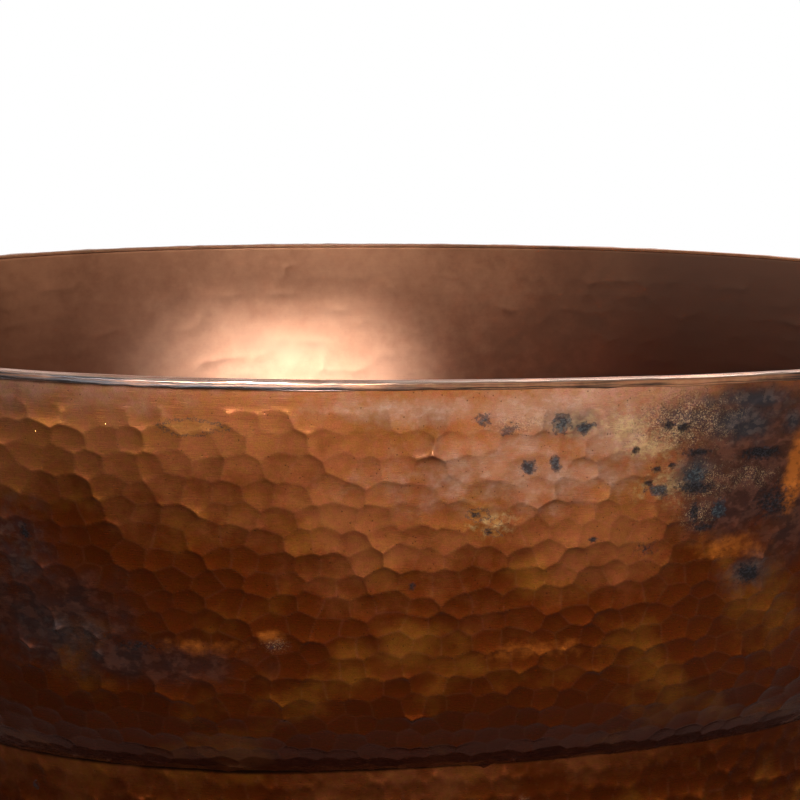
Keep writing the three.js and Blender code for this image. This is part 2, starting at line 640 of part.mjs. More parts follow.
function plateScrew(name, side) {
  const seat = PLATE_FRONT + GAP;
  const end = MOUTH_X - WALL_X - LUG_DEPTH + 1;
  const screw = joined(
    rod(SCREW_RADIUS, end, seat + 1, screwAxis(side), SMALL_FACETS),
    turned([[0, seat], [SCREW_HEAD, seat], [SCREW_HEAD * 0.7, seat + 1.7], [0, seat + 2.2]], screwAxis(side)),
  );
  return mesh(name, screw, brass());
}

function overflow() {
  const pinEnd = EAR_OUTSIDE + 1;
  return [
    overflowHead(),
    overflowGasket(),
    overflowPlate(),
    plateScrew("plate_screw_front", -1),
    plateScrew("plate_screw_back", 1),
    mesh("lever_pin", rod(PIN_RADIUS, -pinEnd, pinEnd, pinAxis), brass()),
    slipJoint("head", [TUBE_X, 0, OVERFLOW_Z - HEAD_DROP], Math.PI),
  ];
}

// ---- Trip lever, linkage, rocker and stopper -----------------------------------------------------------

// Stands at rest with its crank down and its knob up, which holds the stopper open.
function tripLever() {
  const across = { along: "y" };
  const forward = { lean: WALL_SLOPE };
  const [width, height] = [LEVER_WIDTH / 2, LEVER_HEIGHT / 2];
  const cheek = (from) => slot(LEVER_HUB - 1, -LEVER_ARM, 0, from, from + CHEEK, across);
  const knob = new THREE.SphereGeometry(KNOB_RADIUS, SMALL_FACETS, SMALL_FACETS / 2);
  const lever = cut(
    joined(
      rod(LEVER_HUB, -FORK_WIDTH, FORK_WIDTH, across),
      cheek(-FORK_WIDTH),
      cheek(FORK_WIDTH - CHEEK),
      rod(CRANK_PIN_RADIUS, -FORK_WIDTH, FORK_WIDTH, { at: [-LEVER_ARM, 0, 0], along: "y" }),
      block([0, -width, -height], [LEVER_REACH, width, height], forward),
      placed(knob.translate(LEVER_REACH, 0, 0), forward),
    ),
    rod(PIN_RADIUS + RUNNING, -FORK_WIDTH - 1, FORK_WIDTH + 1, across),
  );
  return group([mesh("trip_lever", lever, brass())], [PIN_X, 0, PIN_Z], -LEVER_SWING / 2);
}

// Hangs from the crank pin in a slot that lets the pin sway, and pushes on the rocker arm with its
// striker.
function linkageRod() {
  const top = PIN_Z - LINKAGE_TRAVEL / 2;
  const hole = CRANK_PIN_RADIUS + RUNNING;
  const foot = PIPE_HEIGHT - LINKAGE_TRAVEL / 2 + WIRE_RADIUS + LINK_PLAY - top;
  const across = { along: "y" };
  const rodAndEye = cut(
    joined(
      slot(hole + EYE_WALL, -CRANK_SWAY, CRANK_SWAY, -EYE_THICKNESS / 2, EYE_THICKNESS / 2, across),
      rod(WIRE_RADIUS, foot + 1, -hole - 1),
      turned([
        [0, foot],
        [STRIKER_RADIUS - 1, foot],
        [STRIKER_RADIUS, foot + 1],
        [STRIKER_RADIUS, foot + STRIKER_LENGTH],
        [WIRE_RADIUS, foot + STRIKER_LENGTH + STRIKER_RADIUS],
        [0, foot + STRIKER_LENGTH + STRIKER_RADIUS],
      ]),
    ),
    slot(hole, -CRANK_SWAY, CRANK_SWAY, -EYE_THICKNESS, EYE_THICKNESS, across),
  );
  return group([mesh("linkage_rod", rodAndEye, brass())], [TUBE_X, 0, top]);
}

// Rocks on a foot that stands on the bottom of the level tube's bore.
function rockerArm() {
  const axis = PIPE_BORE;
  const foot = RUNNING + ROCKER_FOOT;
  const half = ROCKER_SADDLE / 2;
  const pad = (x) => rod(ROCKER_PAD, -WIRE_RADIUS, WIRE_RADIUS, { at: [x, 0, axis] }, SMALL_FACETS);
  const arm = joined(
    rod(WIRE_RADIUS, -ROCKER_TO_LINKAGE, ROCKER_TO_STOPPER, { at: [0, 0, axis], along: "x" }, SMALL_FACETS),
    pad(-ROCKER_TO_LINKAGE),
    pad(ROCKER_TO_STOPPER),
    block([-ROCKER_FOOT, -half, foot], [ROCKER_FOOT, half, axis]),
    rod(ROCKER_FOOT, -half, half, { at: [0, 0, foot], along: "y" }),
  );
  const at = [DRAIN_X - ROCKER_TO_STOPPER, 0, PIPE_HEIGHT - PIPE_BORE];
  return group([mesh("rocker_arm", arm, brass())], at, -ROCKER_SWING / 2);
}

// Stands open at rest, its cap lifted off the drain's flange.
function stopper() {
  const underCap = FLANGE_TOP + RUNNING + STOPPER_LIFT;
  const stemEnd = PIPE_HEIGHT + STOPPER_LIFT / 2 + WIRE_RADIUS + LINK_PLAY - underCap;
  const boss = -SEAL_HEIGHT - GAP;
  const cap = joined(
    turned([
      [0, 0],
      [STOPPER_RADIUS, 0],
      [STOPPER_RADIUS, STOPPER_EDGE],
      [STOPPER_RADIUS * 0.7, STOPPER_HEIGHT * 0.85],
      [0, STOPPER_HEIGHT],
    ]),
    rod(BOSS_RADIUS, boss, 1),
    rod(STEM_RADIUS, stemEnd, 0),
  );
  const seal = pipe(BOSS_RADIUS + GAP, DRAIN_BORE - 2 * RUNNING, boss, -GAP);
  const pieces = [mesh("stopper_cap", cap, brass()), mesh("stopper_seal", seal, rubber())];
  return group(pieces, [DRAIN_X, 0, underCap]);
}

// ---- Assembly ------------------------------------------------------------------------------------------

const shell = group([...wallSheets(), ...turnSheets(), floorSheet(), rimBand()]);
const stand = group([...plinth(), ...bearers()]);
const waste = group([wasteTee(), ...drawnTubes(), drain(), ...overflow()]);
const popUp = group([tripLever(), linkageRod(), rockerArm(), stopper()]);

// The slip nuts reach furthest out at the waste end, by their corners.
const NUT_REACH = (SOCKET_RADIUS + NUT_WALL) / Math.cos(Math.PI / 6);
const tub = group([shell, stand, waste, popUp], [(NUT_REACH - TUBE_X - HALF_LENGTH) / 2, 0, 0]);

export default tub;
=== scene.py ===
"""Looks of a freestanding bathtub raised from hammered copper, on its packed construction.

The shell, the rim band and the plinth are modelled again as beaten sheet: every hammer mark is a real
hollow in the mesh. The brass waste and overflow, the oak bearers and the rubber are modelled again with
their turned, cast and sawn shapes. Metres, +Z up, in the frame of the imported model: +X runs along the
tub from the waste end to the head end, and +Y across it from front to back.
"""

import json
import logging
import math
from collections.abc import Callable, Iterable, Iterator, Sequence
from contextlib import contextmanager
from dataclasses import dataclass, field
from enum import Enum
from functools import cached_property
from typing import ClassVar

import bmesh
import bpy
import numpy as np
from bmesh.types import BMesh, BMVert
from bpy.types import ID, Material, Mesh, Node, NodeSocket, NodeTree, Object
from mathutils import Matrix, Vector

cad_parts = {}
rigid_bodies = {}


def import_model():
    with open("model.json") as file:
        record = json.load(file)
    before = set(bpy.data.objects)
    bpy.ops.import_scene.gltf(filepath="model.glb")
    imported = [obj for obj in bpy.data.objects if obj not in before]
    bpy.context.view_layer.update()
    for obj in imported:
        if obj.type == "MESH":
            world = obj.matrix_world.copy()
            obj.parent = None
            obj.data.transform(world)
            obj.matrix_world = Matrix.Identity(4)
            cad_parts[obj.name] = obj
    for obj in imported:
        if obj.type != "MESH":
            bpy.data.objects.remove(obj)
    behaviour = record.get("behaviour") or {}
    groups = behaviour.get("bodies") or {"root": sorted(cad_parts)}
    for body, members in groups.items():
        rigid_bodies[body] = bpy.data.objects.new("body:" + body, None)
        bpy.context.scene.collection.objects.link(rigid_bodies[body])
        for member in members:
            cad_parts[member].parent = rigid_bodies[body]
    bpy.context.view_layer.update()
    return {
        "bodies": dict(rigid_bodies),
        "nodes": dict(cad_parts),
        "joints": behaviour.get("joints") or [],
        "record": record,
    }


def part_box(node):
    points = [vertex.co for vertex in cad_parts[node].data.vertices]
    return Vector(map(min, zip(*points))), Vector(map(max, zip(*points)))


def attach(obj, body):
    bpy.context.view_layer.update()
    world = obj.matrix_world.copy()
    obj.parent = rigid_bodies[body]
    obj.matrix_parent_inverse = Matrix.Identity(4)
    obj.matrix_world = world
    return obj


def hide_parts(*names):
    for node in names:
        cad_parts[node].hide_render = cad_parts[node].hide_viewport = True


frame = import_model()

log = logging.getLogger("bathtub")

MM = 0.001
COURSE = "course"
BAKE = "OFBake"
WALL_SLOPE = math.radians(5)

Array = np.ndarray
Pair = tuple[float, float]
Point = tuple[float, float, float]
Colour = tuple[float, float, float]
Outline = Sequence[Pair]
Settings = dict[str, object] | None


class Body(Enum):
    """The bodies of the construction that a piece can ride on."""

    TUB = "tub"
    LEVER = "lever"
    LINKAGE = "linkage"
    ROCKER = "rocker"
    STOPPER = "stopper"


class Slot(Enum):
    """The record's material slots."""

    COPPER = "copper"
    BRASS = "brass"
    RUBBER = "rubber"
    OAK = "oak"


class Blemish(Enum):
    """What the weather and the maker leave on a copper sheet, each kept as a value on its vertices."""

    BLOOM = "bloom"
    GILT = "gilt"
    PLUM = "plum"
    DUSK = "dusk"
    EMBER = "ember"
    GRIT = "grit"
    SLATE = "slate"
    LACE = "lace"
    SOOT = "soot"


# Shader graphs.


class Value:
    """An output socket that can be reckoned with as a number can."""

    def __init__(self, graph: "Graph", socket: NodeSocket) -> None:
        """Keeps the socket and the graph that it is in."""
        self.graph = graph
        self.socket = socket

    def __add__(self, other: "Value | float") -> "Value":
        """The sum of two values."""
        return self.graph.math("ADD", self, other)

    def __sub__(self, other: "Value | float") -> "Value":
        """This value less another."""
        return self.graph.math("SUBTRACT", self, other)

    def __rsub__(self, other: float) -> "Value":
        """A number less this value."""
        return self.graph.math("SUBTRACT", other, self)

    def __mul__(self, other: "Value | float") -> "Value":
        """The product of two values."""
        return self.graph.math("MULTIPLY", self, other)

    def __truediv__(self, other: "Value | float") -> "Value":
        """This value over another."""
        return self.graph.math("DIVIDE", self, other)

    def span(self, low: float, high: float, start: float = 0.0, end: float = 1.0) -> "Value":
        """Carries this value smoothly from one range to another and holds it there.

        Args:
            low: Where the range starts.
            high: Where it ends.
            start: The result at low.
            end: The result at high.

        Returns:
            The result.
        """
        kind = {"interpolation_type": "SMOOTHSTEP"}
        ends = {"From_Min": low, "From_Max": high, "To_Min": start, "To_Max": end}
        return self.graph.value("MapRange", "Result", kind, Value=self, **ends)

    def tinted(self, other: "Value") -> "Value":
        """This colour multiplied by another."""
        return self.graph.mix(1.0, self, other, "MULTIPLY")


Amount = Value | float
Tint = Value | Colour


class Graph:
    """Writes nodes into the tree of a material, a world or a group."""

    def __init__(self, tree: NodeTree) -> None:
        """Keeps the tree and starts the layout at its left."""
        self.tree = tree
        self.count = 0

    def add(self, kind: str, settings: Settings = None, **inputs: object) -> Node:
        """Adds a node.

        Args:
            kind: Its type without the ShaderNode in front.
            settings: Attributes to set on it.
            **inputs: What to feed it, as in feed.

        Returns:
            The new node.
        """
        node = self.tree.nodes.new(f"ShaderNode{kind}")
        node.location = (220 * (self.count // 5), -190 * (self.count % 5))
        self.count += 1
        for name, value in (settings or {}).items():
            setattr(node, name, value)
        return self.feed(node, **inputs)

    def value(self, kind: str, output: str | int, settings: Settings = None, **inputs: object) -> Value:
        """Adds a node, as add does, and takes its output of that name or number."""
        return Value(self, self.add(kind, settings, **inputs).outputs[output])

    def feed(self, node: Node, **inputs: object) -> Node:
        """Sets or links inputs of a node.

        Args:
            node: The node to feed.
            **inputs: A value or a constant for each input. An underscore in a name stands for a space, and
                one in front of a number for the input with that number.

        Returns:
            The same node.
        """
        for name, value in inputs.items():
            socket = node.inputs[int(name[1:]) if name[0] == "_" else name.replace("_", " ")]
            if isinstance(value, Value):
                self.tree.links.new(value.socket, socket)
            elif socket.type == "RGBA" and len(value) == 3:
                socket.default_value = (*value, 1.0)
            else:
                socket.default_value = value
        return node

    def math(self, operation: str, first: Amount, second: Amount, clamp: bool = False) -> Value:
        """Two values through a Math node, which may hold the result between 0 and 1."""
        return self.value("Math", 0, {"operation": operation, "use_clamp": clamp}, _0=first, _1=second)

    def mix(self, factor: Amount, first: Tint, second: Tint, mode: str = "MIX") -> Value:
        """The first colour with a share of the second over it."""
        return self.value("Mix", 2, {"data_type": "RGBA", "blend_type": mode}, _0=factor, _6=first, _7=second)

    def noise(self, vector: Value, scale: Amount, detail: float = 4.0, roughness: float = 0.55) -> Value:
        """A noise from 0 to 1, of so many features a metre, octaves, and weight of the finer ones."""
        return self.value("TexNoise", "Fac", Vector=vector, Scale=scale, Detail=detail, Roughness=roughness)

    def stretched(self, vector: Value, scale: Point) -> Value:
        """Coordinates scaled by an amount along each axis."""
        return self.value("VectorMath", 0, {"operation": "MULTIPLY"}, _0=vector, _1=scale)

    def attribute(self, name: str) -> Value:
        """A value kept on the vertices."""
        return self.value("Attribute", "Fac", {"attribute_name": name})

    def bump(self, strength: float, distance: float, height: Value) -> Value:
        """The normal of a surface that a height raises."""
        return self.value("Bump", "Normal", Strength=strength, Distance=distance, Height=height)

    def place(self) -> Value:
        """The object's own coordinates, in metres."""
        return self.value("TexCoord", "Object")


class Effect:
    """A shader node group that several finishes share. It is built the first time that it is placed."""

    inputs: ClassVar[dict[str, object]] = {}

    def build(self, graph: Graph, given: dict[str, Value]) -> dict[str, Value]:
        """Fills the group from what is fed into it, and gives what it puts out."""
        raise NotImplementedError

    def tree(self) -> NodeTree:
        """The group's tree, with a named socket for each input and output.

        Returns:
            The tree, which is built only once.
        """
        name = type(self).__name__
        if name in bpy.data.node_groups:
            return bpy.data.node_groups[name]
        tree = bpy.data.node_groups.new(name, "ShaderNodeTree")
        graph = Graph(tree)
        for key, value in self.inputs.items():
            kind = "Vector" if value is None else "Color" if isinstance(value, tuple) else "Float"
            socket = tree.interface.new_socket(key, in_out="INPUT", socket_type=f"NodeSocket{kind}")
            if value is not None:
                socket.default_value = value
        source = tree.nodes.new("NodeGroupInput")
        source.location.x = -300
        made = self.build(graph, {key: Value(graph, source.outputs[key]) for key in self.inputs})
        for key in made:
            kind = "Color" if key == "Color" else "Float"
            tree.interface.new_socket(key, in_out="OUTPUT", socket_type=f"NodeSocket{kind}")
        target = tree.nodes.new("NodeGroupOutput")
        target.location.x = 2000
        graph.feed(target, **made)
        return tree

    def into(self, graph: Graph, **inputs: object) -> dict[str, Value]:
        """Places the group in a material with values for its inputs, and gives its outputs by name."""
        node = graph.feed(graph.add("Group", {"node_tree": self.tree()}), **inputs)
        return {socket.name: Value(graph, socket) for socket in node.outputs}


class Mottling(Effect):
    """Cloudy change of tone between three colours, as on metal that has aged unevenly."""

    inputs = {
        "Vector": None,
        "Pale": (0.6, 0.3, 0.2, 1.0),
        "Middle": (0.4, 0.2, 0.1, 1.0),
        "Deep": (0.2, 0.1, 0.05, 1.0),
        "Scale": 6.0,
        "Age": 0.5,
    }

    def build(self, graph: Graph, given: dict[str, Value]) -> dict[str, Value]:
        """Adds broad clouds and finer ones within them, and moves the balance with age.

        Args:
            graph: The group's graph.
            given: The group's inputs.

        Returns:
            The colour, and the cloud from 0 to 1.
        """
        broad = graph.noise(given["Vector"], given["Scale"], 5.0, 0.6)
        finer = graph.noise(given["Vector"], given["Scale"] * 7.3, 6.0, 0.65)
        cloud = broad * 0.72 + finer * 0.28
        aged = cloud + (given["Age"] - 0.5)
        young = graph.mix(aged.span(0.22, 0.56), given["Pale"], given["Middle"])
        return {"Color": graph.mix(aged.span(0.52, 0.98), young, given["Deep"]), "Cloud": cloud}


class Brushing(Effect):
    """Fine lines left by a scouring cloth, drawn along the first axis of the coordinates."""

    inputs = {"Vector": None, "Fineness": 2600.0}

    def build(self, graph: Graph, given: dict[str, Value]) -> dict[str, Value]:
        """Stretches noise along the lines, in long strokes and short scratches.

        Args:
            graph: The group's graph.
            given: The group's inputs.

        Returns:
            The height of the lines, from 0 to 1.
        """
        long = graph.stretched(given["Vector"], (0.012, 1.0, 1.0))
        short = graph.stretched(given["Vector"], (0.06, 1.0, 1.0))
        strokes = graph.noise(long, given["Fineness"], 2.0, 0.7)
        scratches = graph.noise(short, given["Fineness"] * 0.4, 3.0, 0.6)
        return {"Height": strokes * 0.6 + scratches * 0.4}


class Pitting(Effect):
    """Scattered pin holes and specks."""

    inputs = {"Vector": None, "Scale": 400.0, "Share": 0.3}

    def build(self, graph: Graph, given: dict[str, Value]) -> dict[str, Value]:
        """Keeps a share of the cells of a Voronoi texture and makes each of those a round pit.

        Args:
            graph: The group's graph.
            given: The group's inputs.

        Returns:
            Where the pits are, and their height.
        """
        cells = graph.add("TexVoronoi", Vector=given["Vector"], Scale=given["Scale"])
        split = graph.add("SeparateColor", _0=Value(graph, cells.outputs["Color"]))
        chosen = graph.math("LESS_THAN", Value(graph, split.outputs[0]), given["Share"])
        size = Value(graph, split.outputs[1]).span(0.0, 1.0, 0.12, 0.34)
        near = Value(graph, cells.outputs["Distance"]) / size
        mask = near.span(0.6, 1.1, 1.0, 0.0) * chosen
        return {"Mask": mask, "Height": mask * -1.0}


class Stain(Effect):
    """Breaks a soft presence into a stain with ragged edges and a darker outline."""

    inputs = {"Vector": None, "Presence": 0.0, "Scale": 120.0, "Raggedness": 0.6, "Softness": 0.1}

    def build(self, graph: Graph, given: dict[str, Value]) -> dict[str, Value]:
        """Moves the presence by noise, cuts it softly for the stain and lights the cut for the outline.

        Args:
            graph: The group's graph.
            given: The group's inputs.

        Returns:
            Where the stain is, and its outline.
        """
        cloud = graph.noise(given["Vector"], given["Scale"], 6.0, 0.62)
        raised = given["Presence"] + (cloud - 0.5) * given["Raggedness"] * 2.0
        present = given["Presence"].span(0.02, 0.16)
        mask = ((raised - 0.5) / given["Softness"]).span(-1.0, 1.0) * present
        off = graph.math("ABSOLUTE", raised - 0.46, 0.0)
        return {"Mask": mask, "Outline": off.span(0.0, 0.075, 1.0, 0.0) * present}


class Wear(Effect):
    """Where handling and cleaning keep raised edges bright, and dirt and painted shade darken corners."""

    inputs = {"Vector": None, "Scale": 60.0}

    def build(self, graph: Graph, given: dict[str, Value]) -> dict[str, Value]:
        """Reads how pointed the surface is and breaks both ends of that range with noise.

        Args:
            graph: The group's graph.
            given: The group's inputs.

        Returns:
            The bright edges and the corners darkened by dirt and painted shade.
        """
        cloud = graph.noise(given["Vector"], given["Scale"], 5.0, 0.6)
        moved = graph.value("NewGeometry", "Pointiness") + (cloud - 0.5) * 0.06
        return {"Edge": moved.span(0.515, 0.56), "Corner": moved.span(0.485, 0.44)}


MOTTLING, BRUSHING, PITTING, STAIN, WEAR = Mottling(), Brushing(), Pitting(), Stain(), Wear()


# Finishes.


@dataclass(frozen=True)
class Finish:
    """A finish of the tub, under its material's name."""

    name: str
    slot: ClassVar[Slot]

    @cached_property
    def material(self) -> Material:
        """The finish's material, made the first time that it is asked for.

        Returns:
            The material, with the finish drawn in it.
        """
        material = bpy.data.materials.new(self.name)
        material.use_nodes = True
        nodes = material.node_tree.nodes
        nodes["Principled BSDF"].location.x = 3200
        nodes["Material Output"].location.x = 3500
        graph = Graph(material.node_tree)
        graph.feed(nodes["Principled BSDF"], **self.drawn(graph, graph.place()))
        return material

    def drawn(self, graph: Graph, place: Value) -> dict[str, object]:
        """Draws the finish at the object's coordinates, and gives what to feed the Principled shader."""
        raise NotImplementedError


@dataclass(frozen=True)
class Film:
    """How one kind of blemish shows on the metal."""

    blemish: Blemish
    tint: Colour
    cloud: Colour
    scale: float
    ragged: float
    softness: float
    strength: float
    outline: float = 0.0
    dulls: float = 0.0


FILMS = (
    Film(Blemish.BLOOM, (0.56, 0.34, 0.235), (0.68, 0.45, 0.34), 60.0, 0.60, 0.46, 0.55),
    Film(Blemish.GILT, (0.72, 0.47, 0.21), (0.60, 0.33, 0.17), 150.0, 0.95, 0.40, 0.66, 0.10),
    Film(Blemish.PLUM, (0.050, 0.022, 0.018), (0.130, 0.052, 0.036), 34.0, 0.55, 0.40, 0.84, 0.0, 0.20),
    Film(Blemish.DUSK, (0.032, 0.038, 0.046), (0.110, 0.086, 0.080), 66.0, 0.65, 0.50, 0.78, 0.0, 0.45),
    Film(Blemish.EMBER, (0.70, 0.19, 0.028), (0.46, 0.12, 0.020), 60.0, 0.50, 0.34, 0.85),
    Film(Blemish.SLATE, (0.018, 0.024, 0.032), (0.074, 0.092, 0.102), 190.0, 0.80, 0.30, 0.88, 0.60, 0.60),
    Film(Blemish.LACE, (0.46, 0.200, 0.046), (0.36, 0.130, 0.026), 330.0, 0.62, 0.34, 0.40, 1.00),
    Film(Blemish.SOOT, (0.010, 0.009, 0.010), (0.036, 0.034, 0.040), 260.0, 0.85, 0.30, 0.90, 0.0, 0.40),
)


@dataclass(frozen=True)
class CopperFinish(Finish):
    """Beaten copper that has darkened with age and with painted shade, brushed along the sheet and stained in
    places.
    """

    slot = Slot.COPPER
    pale: Colour = (0.74, 0.40, 0.265)
    middle: Colour = (0.43, 0.140, 0.046)
    deep: Colour = (0.135, 0.026, 0.004)
    ochre: Colour = (0.38, 0.140, 0.020)
    lining_pale: Colour = (0.41, 0.162, 0.066)
    lining_deep: Colour = (0.215, 0.064, 0.015)
    # The colour of the painted shade on the lining towards the head end.
    lining_shaded: Colour = (0.130, 0.048, 0.020)
    # The colour of polished metal and of the painted highlight on the rim's crest.
    polished_highlight: Colour = (0.86, 0.70, 0.59)
    rosy: Colour = (1.0, 0.86, 0.94)
    golden: Colour = (0.94, 0.96, 0.78)
    # The colour of dirt, of pits, and of painted shade under the rim and in its crease.
    grime_and_shade: Colour = (0.020, 0.007, 0.003)
    crust_pale: Colour = (0.66, 0.44, 0.24)
    crust_dark: Colour = (0.050, 0.042, 0.050)
    roughness: float = 0.26
    lining_roughness: float = 0.40
    wax: float = 0.85
    wax_roughness: float = 0.50
    age: float = 0.5
    brush: float = 0.065
    pits: float = 0.08

    def drawn(self, graph: Graph, place: Value) -> dict[str, object]:
        """Draws the bare metal, its stains, the lining with painted shade, the brushing, the pits, the polish
        with painted highlights, and the dirt with painted shade.

        Args:
            graph: The material's graph.
            place: The object's coordinates.

        Returns:
            What to feed the Principled shader.
        """
        fine = graph.noise(place, 900.0, 3.0, 0.7)
        bare, cloud = self.metal(graph, place, fine)
        stained, dull = self.stained(graph, place, bare)
        lining = graph.attribute("lining")
        inner = graph.mix(cloud.span(0.3, 0.7), self.lining_pale, self.lining_deep)
        # Painted shade: the lining is darkened towards the head end.
        inner = graph.mix(graph.attribute("lining_end_shade"), inner, self.lining_shaded)
        course = graph.value("UVMap", "UV", {"uv_map": COURSE})
        brushing = BRUSHING.into(graph, Vector=course, Fineness=1500.0)["Height"]
        colour = graph.mix(lining, stained, inner).tinted(brushing.span(0.3, 0.7, 0.95, 1.05))
        pits = PITTING.into(graph, Vector=place, Scale=380.0, Share=self.pits)
        open_face = 1.0 - lining * 0.7
        colour = graph.mix(pits["Mask"] * open_face * 0.6, colour, self.grime_and_shade)
        # Polish, and the rim's painted highlight along its crest.
        colour = graph.mix(graph.attribute("polish_and_highlight"), colour, self.polished_highlight)
        # Dirt and painted shade: the band under the rim and the crease under the rim's lip darken towards
        # this colour.
        grime_and_shade = graph.attribute("grime_and_shade")
        dirt_and_shade = (grime_and_shade + (cloud - 0.5)).span(0.2, 0.8) * grime_and_shade.span(0.0, 0.2)
        rough = cloud.span(0.3, 0.7, self.roughness - 0.03, self.roughness + 0.05)
        rough = rough + lining * (self.lining_roughness - self.roughness) + (brushing - 0.5) * 0.20
        height = brushing * self.brush + pits["Height"] * (open_face * 0.5) + fine * self.brush
        return {
            "Base_Color": graph.mix(dirt_and_shade, colour, self.grime_and_shade),
            "Metallic": 1.0 - dull * 0.5,
            "Roughness": graph.math("ADD", rough, dull * 0.28, clamp=True),
            "Normal": graph.bump(0.5, 0.0006, height),
            "Coat_Weight": lining * self.wax,
            "Coat_Roughness": self.wax_roughness,
        }

    def metal(self, graph: Graph, place: Value, fine: Value) -> tuple[Value, Value]:
        """Colours the bare metal.

        Args:
            graph: The material's graph.
            place: The object's coordinates.
            fine: A fine noise.

        Returns:
            The colour and its clouds.
        """
        # The age attribute also holds painted shade, darker towards the bottom and the sides of the front.
        age = graph.attribute("age") + self.age
        tones = {"Pale": self.pale, "Middle": self.middle, "Deep": self.deep}
        mottling = MOTTLING.into(graph, Vector=place, Scale=7.0, Age=age, **tones)
        warm = graph.noise(place, 11.0, 4.0).span(0.50, 0.72, 0.0, 0.50)
        colour = graph.mix(warm, mottling["Color"], self.ochre)
        colour = colour.tinted(graph.attribute("tone").span(0.0, 1.0, 0.88, 1.10))
        # Painted highlight: the ridges between the hammer marks are lightened towards the pale colour.
        colour = graph.mix(graph.attribute("ridge_highlight") * 0.04, colour, self.pale)
        colour = colour.tinted(fine.span(0.3, 0.7, 0.82, 1.16))
        patch = graph.noise(place, 150.0, 6.0, 0.72).span(0.40, 0.60)
        return colour.tinted(graph.mix(patch, self.rosy, self.golden)), mottling["Cloud"]

    def stained(self, graph: Graph, place: Value, colour: Value) -> tuple[Value, Value]:
        """Lays every kind of blemish over the metal.

        Args:
            graph: The material's graph.
            place: The object's coordinates.
            colour: The bare metal's colour.

        Returns:
            The stained colour and how dull it is.
        """
        dull = graph.attribute("lining") * 0.0
        for film in FILMS:
            texture = {"Scale": film.scale, "Raggedness": film.ragged, "Softness": film.softness}
            stain = STAIN.into(graph, Vector=place, Presence=graph.attribute(film.blemish.value), **texture)
            if film.outline:
                colour = graph.mix(stain["Outline"] * film.outline, colour, self.crust_dark)
            mask = stain["Mask"] * film.strength
            cloud = graph.noise(graph.stretched(place, (1.0, 1.0, 1.3)), 1.7 * film.scale, 3.0, 0.6)
            colour = graph.mix(mask, colour, graph.mix(cloud.span(0.47, 0.60), film.tint, film.cloud))
            if film.dulls:
                dull = graph.math("MAXIMUM", dull, mask * film.dulls)
            if film.blemish is Blemish.EMBER:
                colour = self.crusted(graph, place, colour)
        return colour, dull

    def crusted(self, graph: Graph, place: Value, colour: Value) -> Value:
        """Sprinkles a crust of pale and dark grains where there is grit.

        Args:
            graph: The material's graph.
            place: The object's coordinates.
            colour: The colour so far.

        Returns:
            The crusted colour.
        """
        grit = graph.attribute(Blemish.GRIT.value)
        patch = {"Scale": 120.0, "Raggedness": 1.0, "Softness": 0.5}
        region = STAIN.into(graph, Vector=place, Presence=grit, **patch)["Mask"]
        grains = graph.noise(place, 640.0, 4.0, 0.8)
        colour = graph.mix(grains.span(0.49, 0.44) * region * 0.85, colour, self.crust_dark)
        return graph.mix(grains.span(0.53, 0.59) * region * 0.80, colour, self.crust_pale)


@dataclass(frozen=True)
class BrassFinish(Finish):
    """Turned and cast brass that has dulled with handling and water."""

    slot = Slot.BRASS
    bright: Colour = (0.83, 0.64, 0.33)
    dull: Colour = (0.56, 0.38, 0.155)
    brown: Colour = (0.25, 0.145, 0.055)
    dirt_and_shade: Colour = (0.045, 0.030, 0.014)
    roughness: float = 0.27
    age: float = 0.30
    turned: float = 0.10

    def drawn(self, graph: Graph, place: Value) -> dict[str, object]:
        """Draws the mottled metal, bright on its edges, its corners darkened by dirt and painted shade, with
        pits and turning.

        Args:
            graph: The material's graph.
            place: The object's coordinates.

        Returns:
            What to feed the Principled shader.
        """
        tones = {"Pale": self.bright, "Middle": self.dull, "Deep": self.brown}
        mottling = MOTTLING.into(graph, Vector=place, Scale=34.0, Age=self.age, **tones)
        wear = WEAR.into(graph, Vector=place, Scale=90.0)
        pits = PITTING.into(graph, Vector=place, Scale=620.0, Share=0.10)
        colour = graph.mix(wear["Edge"], mottling["Color"], self.bright)
        # Dirt and painted shade in the corners.
        colour = graph.mix(wear["Corner"] * 0.8, colour, self.dirt_and_shade)
        stretched = graph.stretched(place, (1.0, 1.0, 6.0))
        brushing = BRUSHING.into(graph, Vector=stretched, Fineness=1600.0)["Height"]
        cloud = mottling["Cloud"].span(0.3, 0.7, self.roughness - 0.05, self.roughness + 0.12)
        return {
            "Base_Color": graph.mix(pits["Mask"] * 0.5, colour, self.brown),
            "Metallic": 1.0,
            "Roughness": graph.math("ADD", cloud, wear["Corner"] * 0.3, clamp=True),
            "Normal": graph.bump(0.4, 0.0003, brushing * self.turned + pits["Height"] * 0.4),
        }


@dataclass(frozen=True)
class RubberFinish(Finish):
    """Matt black rubber, greyed by dust where it is rubbed."""

    slot = Slot.RUBBER
    black: Colour = (0.014, 0.014, 0.013)
    grey: Colour = (0.060, 0.058, 0.054)
    roughness: float = 0.72

    def drawn(self, graph: Graph, place: Value) -> dict[str, object]:
        """Draws the rubber with its dust, its grain and its pits.

        Args:
            graph: The material's graph.
            place: The object's coordinates.

        Returns:
            What to feed the Principled shader.
        """
        cloud = graph.noise(place, 70.0, 5.0, 0.65)
        grain = graph.noise(place, 1800.0, 2.0, 0.6)
        wear = WEAR.into(graph, Vector=place, Scale=150.0)
        pits = PITTING.into(graph, Vector=place, Scale=500.0, Share=0.12)
        colour = graph.mix(cloud.span(0.46, 0.74, 0.0, 0.5), self.black, self.grey)
        return {
            "Base_Color": graph.mix(wear["Edge"] * 0.7, colour, self.grey),
            "Roughness": cloud.span(0.3, 0.7, self.roughness - 0.08, self.roughness + 0.12),
            "Normal": graph.bump(0.5, 0.0002, grain + pits["Height"]),
        }


